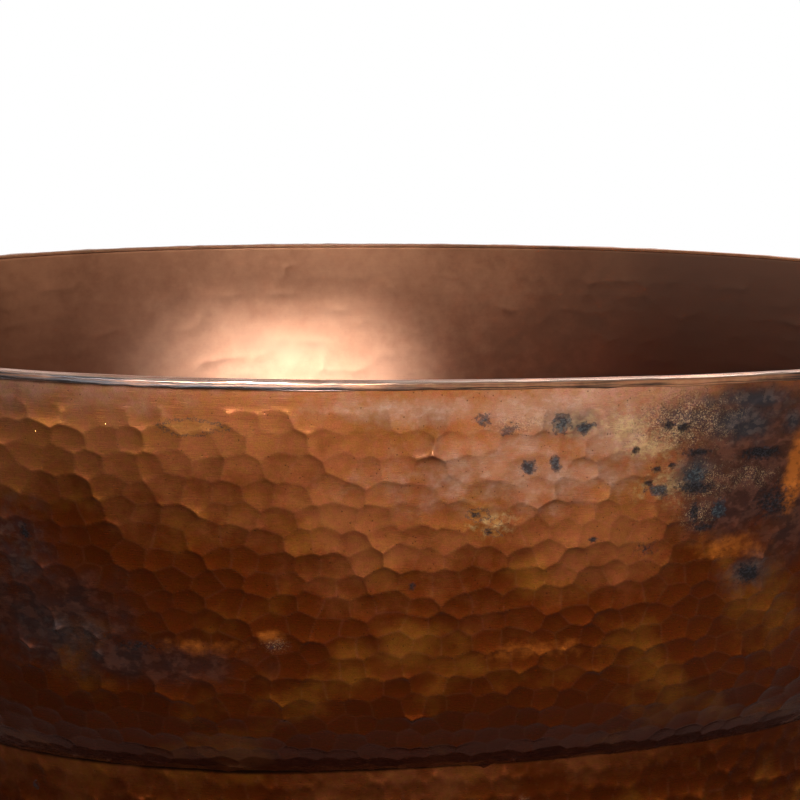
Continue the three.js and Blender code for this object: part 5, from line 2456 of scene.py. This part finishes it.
@dataclass
class Drain:
    """The flange in the floor, the shoe under it, and what seals them."""

    fitting: Fitting
    x: float
    height: float
    bore: float = 18.0
    barrel: float = 21.0
    flange: float = 35.0
    flange_height: float = 3.2
    shoe_wall: float = 5.0
    shoe_lip: float = 4.0
    guide: float = 7.0
    spoke: float = 3.0
    spider: float = 6.0
    stem: float = 3.5
    edge: float = 2.0

    @property
    def upright(self) -> Stand:
        """The drain's own axis."""
        return Stand((self.x, 0.0, 0.0))

    def build(self) -> None:
        """Builds the flange, the shoe, the gasket, the seal and the shoe's joint."""
        self.flanged()
        self.shoe()
        for node in ("drain_gasket", "shoe_seal"):
            low, high = box_of(node)
            inside, outside = self.barrel + self.fitting.gap, self.flange - self.edge
            Form.ring(inside, outside, low.z, high.z, self.upright).piece(node, "soft", RUBBER)
        self.fitting.joint("shoe", Stand((self.x - self.fitting.reach, 0.0, self.height), (-1, 0, 0)))

    def flanged(self) -> None:
        """Builds the flange with its barrel and the spider that guides the stem."""
        low, high = box_of("drain_flange")
        bottom, top = low.z, high.z
        under = top - self.flange_height
        outline = (
            (self.bore, bottom),
            (self.barrel, bottom),
            (self.barrel, under),
            (self.flange, under),
            (self.flange, under + 1.0),
            (self.flange - 2.4, top),
            (self.bore + 3.4, top),
            (self.bore + 0.6, top - 1.6),
            (self.bore, top - 2.4),
        )
        half, reach = self.spoke / 2, self.bore + 1.0
        spokes = [
            Form.block((self.x - x, -y, bottom + ease), (self.x + x, y, bottom + self.spider - ease), 0.4)
            for x, y, ease in ((reach, half, 0.3), (half, reach, 0.5))
        ]
        hub = Form.rod(self.guide, bottom, bottom + self.spider, self.upright)
        stem = Form.rod(self.stem, bottom - 1, bottom + self.spider + 1, self.upright, 0)
        body = Form.turned(outline, self.upright, 0.35).joined(hub.joined(*spokes).cut(stem))
        body.piece("drain_flange", "turned", BRASS)

    def shoe(self) -> None:
        """Builds the shoe's casting and bores it."""
        low, high = box_of("drain_shoe")
        level = Stand((self.x, 0.0, self.height), (-1, 0, 0))
        outside = self.barrel + self.shoe_wall
        outline = (
            (0, low.z),
            (outside - 5, low.z),
            (outside, low.z + 5),
            (outside, high.z - self.shoe_lip - 3),
            (self.flange, high.z - self.shoe_lip),
            (self.flange, high.z),
            (0, high.z),
        )
        body = Form.turned(outline, self.upright)
        branch = Form.rod(self.fitting.socket, 0, self.fitting.reach, level)
        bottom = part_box("drain_flange")[0].z / MM - self.fitting.gap
        bore, seat = self.fitting.bore, self.barrel + self.fitting.gap
        well = self.height - bore
        top = high.z + 5
        outline = ((0, well), (bore, well), (bore, bottom), (seat, bottom), (seat, top), (0, top))
        casting = body.joined(branch).cast().cut(Form.rod(60, high.z - 0.01, high.z + 4, self.upright, 0))
        passage = self.fitting.passage(self.fitting.reach, level)
        casting.cut(Form.turned(outline, self.upright, 0.9), passage).piece("drain_shoe", "cast", CAST)


@dataclass
class Overflow:
    """The overflow head behind the wall and the plate inside it, held by two screws."""

    fitting: Fitting
    tube_x: float
    pin: Vector
    slope: float = WALL_SLOPE
    mouth_bore: float = 26.0
    mouth: float = 30.0
    head_corner: float = 8.0
    head_drop: float = 58.0
    height: float = 500.0
    plate_radius: float = 42.0
    plate_thickness: float = 6.0
    wall: float = 2.51
    setback: float = 6.0
    screw: float = 2.0
    screw_head: float = 4.2
    screw_offset: float = 20.0
    lug: float = 10.0
    pin_radius: float = 1.8
    gasket_bore: float = 27.0
    gasket_edge: float = 32.0
    weir: float = 3.2
    weir_circle: float = 19.0
    weir_spacing: float = math.radians(27)
    ear_inside: float = 6.5
    ear: float = 3.0
    ear_height: float = 12.0
    slot_half: float = 8.6
    slot_width: float = 2.5
    bulge: float = 1.9

    @property
    def axis(self) -> Point:
        """The direction of the plate's axis, square through the wall into the tub."""
        return (math.cos(self.slope), 0.0, math.sin(self.slope))

    @property
    def wall_place(self) -> Vector:
        """Where the plate's axis meets the wall's outer face."""
        return self.pin / MM + self.setback * Vector(self.axis)

    @property
    def frame(self) -> Matrix:
        """The transform from the plate's own axes: X through the wall, Z up the wall."""
        return Matrix.Translation(self.wall_place) @ Matrix.Rotation(-self.slope, 4, "Y")

    @property
    def level(self) -> Stand:
        """The head's axis."""
        return Stand((0.0, 0.0, self.height), (1, 0, 0))

    @property
    def across(self) -> Stand:
        """The lever pin's axis."""
        return Stand((self.pin.x / MM, 0.0, self.pin.z / MM), (0, 1, 0))

    def on_axis(self, across: float = 0.0, up: float = 0.0) -> Stand:
        """A stand parallel to the plate's axis, moved across and up the wall."""
        return Stand(tuple(self.frame @ Vector((0.0, across, up))), self.axis)

    def build(self) -> None:
        """Builds the head, the gasket, the plate, the screws, the pin and the head's joint."""
        self.head()
        self.gasket()
        self.plate()
        for side, node in ((-1, "plate_screw_front"), (1, "plate_screw_back")):
            self.plate_screw(side, node)
        low, high = box_of("lever_pin")
        Form.rod(self.pin_radius, low.y, high.y, self.across, 0.5).piece("lever_pin", "turned", BRASS)
        self.fitting.joint("head", Stand((self.tube_x, 0.0, self.height - self.head_drop), (0, 0, -1)))

    def head(self) -> None:
        """Builds the head's casting, bores it and drills its lugs."""
        low, high = box_of("overflow_head")
        back, front = low.x, high.x
        down = Stand((self.tube_x, 0.0, self.height), (0, 0, -1))
        outline = (
            (0, back),
            (self.mouth - self.head_corner - 1, back),
            (self.mouth - 2.2, back + 2.2),
            (self.mouth, back + self.head_corner + 1),
            (self.mouth, front),
            (0, front),
        )
        socket = Form.rod(self.fitting.socket, 0, self.head_drop, down)
        casting = Form.turned(outline, self.level, 2.0).joined(socket).cast()
        bore = Form.rod(self.mouth_bore, back + 3.7, front + 2, self.level, 2.0)
        casting = casting.cut(bore, self.fitting.passage(self.head_drop, down))
        half = 2 * self.screw
        for side in (-1, 1):
            near, far = sorted((side * (self.screw_offset - half), side * (self.mouth_bore + 1)))
            low, high = (front - self.lug, near, self.height - half), (front - 0.3, far, self.height + half)
            casting = casting.joined(Form.block(low, high, 0.8))
        stands = [self.on_axis(side * self.screw_offset) for side in (-1, 1)]
        holes = [Form.rod(self.screw + self.fitting.gap, -60, 60, stand, 0) for stand in stands]
        casting.cut(*holes).piece("overflow_head", "cast", CAST)

    def gasket(self) -> None:
        """Builds the wedge gasket between the head's upright mouth and the leaning wall."""
        low, high = box_of("overflow_gasket")
        wall_x, tangent = self.wall_place.x, math.tan(self.slope)

        def wedge(places: Array) -> Array:
            """Lays the front face against the wall.

            Args:
                places: The form's places.

            Returns:
                The same places, moved.
            """
            far = places[:, 0] > (low.x + high.x) / 2
            lean = wall_x - 0.35 - (places[:, 2] - self.height) * tangent
            places[:, 0] = np.where(far, lean, places[:, 0])
            return places

        ring = Form.ring(self.gasket_bore, self.gasket_edge, low.x, high.x, self.level)
        ring.moved(wedge).piece("overflow_gasket", "soft", RUBBER)

    def plate(self) -> None:
        """Builds the cover plate with its ears, its slot, its holes and its dished back."""
        front = self.wall + self.plate_thickness
        radius = self.plate_radius
        outline = (
            (0, self.wall + 0.3),
            (radius, self.wall + 0.3),
            (radius, self.wall + 3.0),
            (radius - 1.6, self.wall + 4.0),
            (radius - 6.0, front - 0.9),
            (radius - 9.0, front - 0.1),
            (radius - 12.0, front),
            (0, front),
        )
        frame = self.frame
        back = frame.inverted()

        def dished(places: Array) -> Array:
            """Bends the back to the wall's curve.

            Args:
                places: The form's places.

            Returns:
                The same places, moved.
            """
            local = places @ np.array(back.to_3x3()).T + np.array(back.translation)
            rear = local[:, 0] < self.wall + 1.2
            local[:, 0] += rear * self.bulge * (np.abs(local[:, 1]) / radius) ** 2.3
            return local @ np.array(frame.to_3x3()).T + np.array(frame.translation)

        disc = Form.turned(outline, self.on_axis(), 0.7).moved(dished)
        tall = self.ear_height / 2
        for side in (-1, 1):
            near, far = sorted((side * self.ear_inside, side * (self.ear_inside + self.ear)))
            low, high = (-self.setback - tall, near, -tall), (front - 1, far, tall)
            disc = disc.joined(Form.block(low, high, 0.6, frame))
        low, high = (0, -self.slot_width, -self.slot_half), (60, self.slot_width, self.slot_half)
        slot = Form.block(low, high, 1.2, frame)
        holes = [Form.rod(self.pin_radius + self.fitting.gap, -30, 30, self.across, 0)]
        for place in range(-2, 3):
            angle = 1.5 * math.pi + place * self.weir_spacing
            stand = self.on_axis(self.weir_circle * math.cos(angle), self.weir_circle * math.sin(angle))
            holes.append(self.countersink(self.weir, front, 0.7, stand))
        for side in (-1, 1):
            stand = self.on_axis(side * self.screw_offset)
            holes.append(self.countersink(self.screw + self.fitting.gap, front, 0.2, stand))
        disc.cut(slot, *holes).piece("overflow_plate", "dished", BRASS)

    @staticmethod
    def countersink(radius: float, face: float, ease: float, stand: Stand) -> Form:
        """A tool that drills a hole and eases its edge at a face.

        Args:
            radius: The hole's radius.
            face: The height of the face.
            ease: How far the edge is eased.
            stand: The hole's axis.

        Returns:
            The tool.
        """
        top = face + ease
        outline = ((0, -40), (radius, -40), (radius, face - ease), (radius + 2 * ease, top), (0, top))
        return Form.turned(outline, stand, 0, facets=48)

    def plate_screw(self, side: int, node: str) -> None:
        """Builds one slotted screw.

        Args:
            side: Less than 0 for the front one.
            node: Its node.
        """
        seat = self.wall + self.plate_thickness + 0.3
        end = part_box("overflow_head")[1].x / MM - self.wall_place.x - self.lug + 1
        head = self.screw_head
        outline = (
            (0, end),
            (self.screw - 0.5, end),
            (self.screw, end + 0.6),
            (self.screw, seat),
            (head, seat),
            (head, seat + 0.6),
            (head * 0.82, seat + 1.5),
            (head * 0.45, seat + 2.1),
            (0, seat + 2.2),
        )
        across = side * self.screw_offset
        screw = Form.turned(outline, self.on_axis(across), 0.25, facets=64)
        slot = Form.block((seat + 1.2, across - 0.45, -9), (seat + 4, across + 0.45, 9), 0, self.frame)
        screw.cut(slot).piece(node, "slotted", BRASS)


# The trip lever, the linkage, the rocker and the stopper.


@dataclass
class PopUp:
    """The lever on the overflow plate, and what it moves to lower the stopper."""

    tube_x: float
    drain_x: float
    pin: Vector
    height: float
    slope: float = WALL_SLOPE
    swing: float = math.radians(40)
    arm: float = 35.0
    reach: float = 46.0
    fork: float = 6.0
    cheek: float = 3.0
    hub: float = 5.0
    knob: float = 7.0
    running: float = 0.5
    crank_pin: float = 2.0
    eye_wall: float = 2.5
    wire: float = 2.5
    striker: float = 8.0
    striker_length: float = 40.0
    play: float = 1.0
    pipe_bore: float = Fitting.bore
    pin_radius: float = Overflow.pin_radius
    lift: float = 12.0
    cap_height: float = 5.5

    @property
    def travel(self) -> float:
        """How far the linkage moves."""
        return 2 * self.arm * math.sin(self.swing / 2)

    def build(self) -> None:
        """Builds every moving piece as it stands at rest."""
        self.lever()
        self.linkage()
        self.rocker()
        self.stopper()

    def lever(self) -> None:
        """Builds the lever: a tapered arm with a ball knob, a hub, and a forked crank behind."""
        across = Stand(along=(0, 1, 0))
        half = self.fork
        crank = Form.rod(self.crank_pin, -half, half, Stand((-self.arm, 0, 0), (0, 1, 0)), 0.3)
        shape = Form.rod(self.hub, -half, half, across).joined(crank)
        for side in (-1, 1):
            faces = (side * (half - 0.25), side * (half - self.cheek))
            shape = shape.joined(Form.strap((-self.arm, 0), (0, 0), self.hub - 1, faces))
        bar = Form.block((0, -2, -3), (self.reach - 2, 2, 3), 0.9).moved(self.tapered)
        bar = bar.placed(Matrix.Rotation(-self.slope, 4, "Y"))
        ahead = (math.cos(self.slope), 0.0, math.sin(self.slope))
        end = Stand(tuple(self.reach * part for part in ahead), ahead)
        shape = shape.joined(bar, Form.turned(self.ball(), end, 0))
        shape = shape.cut(Form.rod(self.pin_radius + self.running, -half - 1, half + 1, across, 0))
        rest = Matrix.Translation(self.pin / MM) @ Matrix.Rotation(-self.swing / 2, 4, "Y")
        shape.placed(rest).piece("trip_lever", "turned", BRASS, Body.LEVER)

    def ball(self) -> list[Pair]:
        """The outline of the knob and the collar behind it.

        Returns:
            The radii and heights, from the collar to the tip.
        """
        knob = self.knob
        angles = np.linspace(-math.pi / 2 + 0.45, math.pi / 2, 22)
        outline = [(0.0, -knob - 3.0), (3.2, -knob - 3.0), (3.6, -knob - 2.0), (3.2, -knob - 0.8)]
        outline += [(float(knob * np.cos(angle)), float(knob * np.sin(angle))) for angle in angles[:-1]]
        return [*outline, (0.0, knob)]

    def tapered(self, places: Array) -> Array:
        """Draws the lever's arm in a little towards its knob.

        Args:
            places: The bar's places.

        Returns:
            The same places, moved.
        """
        share = held(places[:, 0] / self.reach)
        places[:, 1] *= 1 - 0.15 * share
        places[:, 2] *= 1 - 0.30 * share
        return places

    def linkage(self) -> None:
        """Builds the wire with its slotted eye above and its striker below."""
        top = self.pin.z / MM - self.travel / 2
        hole = self.crank_pin + self.running
        sway = self.arm * (1 - math.cos(self.swing / 2)) / 2
        foot = self.height - self.travel / 2 + self.wire + self.play - top
        sides = ((-sway, 0), (sway, 0))
        eye = Form.strap(*sides, hole + self.eye_wall, (-2, 2), 0.6)
        end = foot + self.striker_length
        outline = (
            (0, foot),
            (self.striker - 2.5, foot),
            (self.striker, foot + 1.6),
            (self.striker, end),
            (self.wire, end + self.striker),
            (0, end + self.striker),
        )
        shape = Form.rod(self.wire, end, -hole - 1).joined(eye, Form.turned(outline, rounding=0.9))
        shape = shape.cut(Form.strap(*sides, hole, (-4, 4), 0))
        shape = shape.placed(Matrix.Translation((self.tube_x, 0, top)))
        shape.piece("linkage_rod", "turned", BRASS, Body.LINKAGE)

    def rocker(self) -> None:
        """Builds the arm that rocks on its foot in the level tube."""
        length = self.drain_x - self.tube_x
        to_stopper = length * self.lift / (self.lift + self.travel)
        to_linkage = length - to_stopper
        axis, foot = self.pipe_bore, self.running + 5.0
        arm = Form.rod(self.wire, -to_linkage, to_stopper, Stand((0, 0, axis), (1, 0, 0)), 0.6)
        half = self.wire - 0.2
        pads = [Form.rod(6.0, -half, half, Stand((x, 0, axis)), 0.8) for x in (-to_linkage, to_stopper)]
        saddle = Form.strap((0, foot), (0, axis - 4), 5.0, (-1.5, 1.5), 0.4)
        rest = Matrix.Translation((self.drain_x - to_stopper, 0, self.height - self.pipe_bore))
        rest = rest @ Matrix.Rotation(-self.lift / to_stopper / 2, 4, "Y")
        arm.joined(*pads, saddle).placed(rest).piece("rocker_arm", "bent", BRASS, Body.ROCKER)

    def stopper(self) -> None:
        """Builds the domed cap with its stem, and the seal under it."""
        low, high = box_of("stopper_cap")
        seal_low, seal_high = box_of("stopper_seal")
        under, seat = high.z - self.cap_height, seal_low.z
        stand = Stand((self.drain_x, 0.0, 0.0))
        stem = ((0, low.z), (2.2, low.z), (3.0, low.z + 1.2), (3.0, seat), (8.0, seat), (8.0, under))
        dome = (
            (23.0, under),
            (23.0, under + 1.2),
            (21.4, under + 2.6),
            (17.0, under + 4.2),
            (11.0, under + 5.1),
            (5.0, under + 5.45),
            (0, under + self.cap_height),
        )
        Form.turned((*stem, *dome), stand, 0.6).piece("stopper_cap", "domed", BRASS, Body.STOPPER)
        seal = Form.ring(8.3, 17.0, seat, seal_high.z, stand, 0.8)
        seal.piece("stopper_seal", "soft", RUBBER, Body.STOPPER)


# The studio.


@dataclass(frozen=True)
class Viewpoint:
    """Where the camera stands, by its place from the middle of the rim's front, and how it looks."""

    to_left: float = 217 * MM
    before: float = 947 * MM
    above: float = 276 * MM
    yaw: float = math.radians(7.48)
    pitch: float = math.radians(17.0)
    roll: float = math.radians(1.35)
    lens: float = 50.0

    def build(self, middle: float, front: float, rim: float) -> None:
        """Makes the scene's camera.

        Args:
            middle: The tub's middle, along x.
            front: The rim's front, along y.
            rim: The height of the rim.
        """
        data = bpy.data.cameras.new("camera")
        data.lens = self.lens
        data.sensor_width = 36.0
        data.clip_end = 100.0
        camera = link(data, "camera")
        forward = math.cos(self.pitch)
        ahead = Vector((math.sin(self.yaw) * forward, math.cos(self.yaw) * forward, -math.sin(self.pitch)))
        level = Vector((math.cos(self.yaw), -math.sin(self.yaw), 0))
        upright = level.cross(ahead)
        right = level * math.cos(self.roll) + upright * math.sin(self.roll)
        up = upright * math.cos(self.roll) - level * math.sin(self.roll)
        matrix = Matrix((right, up, -ahead)).transposed().to_4x4()
        matrix.translation = (middle - self.to_left, front - self.before, rim + self.above)
        camera.matrix_world = matrix
        bpy.context.scene.camera = camera


WHITE = (1.0, 1.0, 1.0)
PALE_DAY = (0.76, 0.88, 1.0)
AT_WINDOW = (-0.46, -1.7, 1.24)


@dataclass(frozen=True)
class Lamp:
    """A soft rectangular lamp that looks at a point."""

    name: str
    place: Point
    target: Point
    width: float
    height: float
    power: float
    colour: Colour = WHITE
    spread: float = math.radians(180)

    def build(self) -> None:
        """Adds the lamp to the scene."""
        data = bpy.data.lights.new(self.name, "AREA")
        data.shape = "RECTANGLE"
        data.size = self.width
        data.size_y = self.height
        data.energy = self.power
        data.color = self.colour
        data.spread = self.spread
        lamp = link(data, self.name)
        lamp.location = self.place
        aim = Vector(self.target) - Vector(self.place)
        lamp.rotation_euler = aim.to_track_quat("-Z", "Y").to_euler()


@dataclass(frozen=True)
class Studio:
    """A plain pale floor that runs off into white, a pale world, and soft lamps."""

    floor_colour: Colour = (0.72, 0.71, 0.70)
    floor_size: float = 60.0
    white_from: float = 1.9
    white_to: float = 3.8
    lift: float = 0.34
    ambient: float = 0.20
    zenith: float = 0.20
    lamps: tuple[Lamp, ...] = (
        Lamp("key", (1.5, 2.3, 3.0), (0.1, 0.0, 0.4), 1.6, 1.2, 30.0),
        Lamp("pool", (0.25, -1.75, 2.2), (0.2, -1.7, 0.0), 0.5, 0.4, 10.0, spread=math.radians(70)),
        Lamp("window", AT_WINDOW, (-0.14, 0.37, 0.355), 0.26, 0.08, 1.95, PALE_DAY, math.radians(9)),
        Lamp("glow", AT_WINDOW, (-0.15, 0.37, 0.385), 0.40, 0.10, 0.62, PALE_DAY, math.radians(22)),
        Lamp("fill", (-2.6, -1.2, 2.2), (0.0, 0.0, 0.4), 1.6, 1.2, 6.0),
    )

    @staticmethod
    def seen(graph: Graph) -> Value:
        """Tells rays that see a thing directly, in a gloss or through glass.

        Args:
            graph: The graph of a material or of the world.

        Returns:
            1 for such a ray and 0 for others.
        """
        kinds = ("Is Camera Ray", "Is Glossy Ray", "Is Transmission Ray")
        rays = graph.add("LightPath")
        direct, glossy, through = (Value(graph, rays.outputs[kind]) for kind in kinds)
        return graph.math("MAXIMUM", graph.math("MAXIMUM", direct, glossy), through)

    def floor(self) -> None:
        """Lays the floor."""
        mesh = bpy.data.meshes.new("floor")
        half = self.floor_size / 2
        corners = [(-half, -half, 0), (half, -half, 0), (half, half, 0), (-half, half, 0)]
        mesh.from_pydata(corners, [], [(0, 1, 2, 3)])
        material = bpy.data.materials.new("studio floor")
        material.use_nodes = True
        shader, output = (material.node_tree.nodes[name] for name in ("Principled BSDF", "Material Output"))
        graph = Graph(material.node_tree)
        away = graph.value("VectorMath", "Value", {"operation": "LENGTH"}, _0=graph.place())
        cloud = graph.noise(graph.place(), 2.3, 3.0).span(0.3, 0.7)
        pale = tuple(0.94 * part for part in self.floor_colour)
        graph.feed(shader, Base_Color=graph.mix(cloud, pale, self.floor_colour), Roughness=0.8)
        white = graph.value("Emission", 0, Color=WHITE, Strength=1.0)
        lifted = graph.value("LightPath", "Is Camera Ray") * self.lift
        share = graph.math("MAXIMUM", away.span(self.white_from, self.white_to) * self.seen(graph), lifted)
        surface = graph.value("MixShader", 0, _0=share, _1=Value(graph, shader.outputs[0]), _2=white)
        graph.feed(output, Surface=surface)
        mesh.materials.append(material)
        link(mesh, "floor")

    def world(self) -> None:
        """Makes the world: white at the horizon and greyer overhead."""
        world = bpy.data.worlds.new("studio")
        world.use_nodes = True
        graph = Graph(world.node_tree)
        height = graph.value("SeparateXYZ", "Z", _0=graph.value("TexCoord", "Generated"))
        level = height.span(0.03, 0.62, 1.0, self.zenith) * self.seen(graph) + self.ambient
        level = graph.math("MINIMUM", level, 1.0)
        colour = graph.mix(level, (0.0, 0.0, 0.0), WHITE)
        graph.feed(world.node_tree.nodes["Background"], Color=colour, Strength=1.0)
        bpy.context.scene.world = world

    def build(self) -> None:
        """Builds the floor, the world and the lamps, and sets the view transform."""
        self.floor()
        self.world()
        for lamp in self.lamps:
            lamp.build()
        bpy.context.scene.view_settings.view_transform = "Standard"


# The whole tub.


@dataclass
class Bathtub:
    """The tub and everything on it."""

    seam_offset: float = 70 * MM

    def build(self) -> None:
        """Builds every sub-assembly in order."""
        low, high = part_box("rim_band")
        oval = Oval((low.x + high.x) / 2, (high.x - low.x) / 2, (high.y - low.y) / 2)
        wall_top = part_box("front_wall_sheet")[1].z
        section = Section(wall_top, high.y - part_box("back_wall_sheet")[1].y)
        Viewpoint().build(oval.middle, low.y, high.z)
        Studio().build()
        marks = HammerMarks()
        soft_marks = HammerMarks(hollow=0.18 * MM, wall=0.08 * MM, lean=0.08 * MM, uneven=0.03 * MM, seed=29)
        beaten = BeatenSheet(oval, section, Weather(), marks, soft_marks, foot=section.turn_end)
        seam = oval.distance_to(high.x, self.seam_offset)
        Shell(beaten, seam, middle_of("overflow_plate")).build()
        Floor(beaten, middle_of("drain_flange")).build()
        RimBand(oval, Weather(), high.z).build()
        Plinth(oval, middle_of("waste_tube"), marks, soft_marks).build()
        Bearers().build()
        self.plumbing()

    def plumbing(self) -> None:
        """Builds the waste, the overflow and what moves in them."""
        fitting = Fitting()
        tube_x = middle_of("overflow_tube").x / MM
        drain_x = middle_of("drain_flange").x / MM
        height = middle_of("waste_tube").z / MM
        pin = middle_of("lever_pin")
        WasteRun(fitting, tube_x, height).build()
        Drain(fitting, drain_x, height).build()
        Overflow(fitting, tube_x, pin).build()
        PopUp(tube_x, drain_x, pin, height).build()


def main() -> None:
    """Builds the tub."""
    logging.basicConfig(level=logging.INFO, format="%(message)s")
    Bathtub().build()


if __name__ == "__main__":
    main()
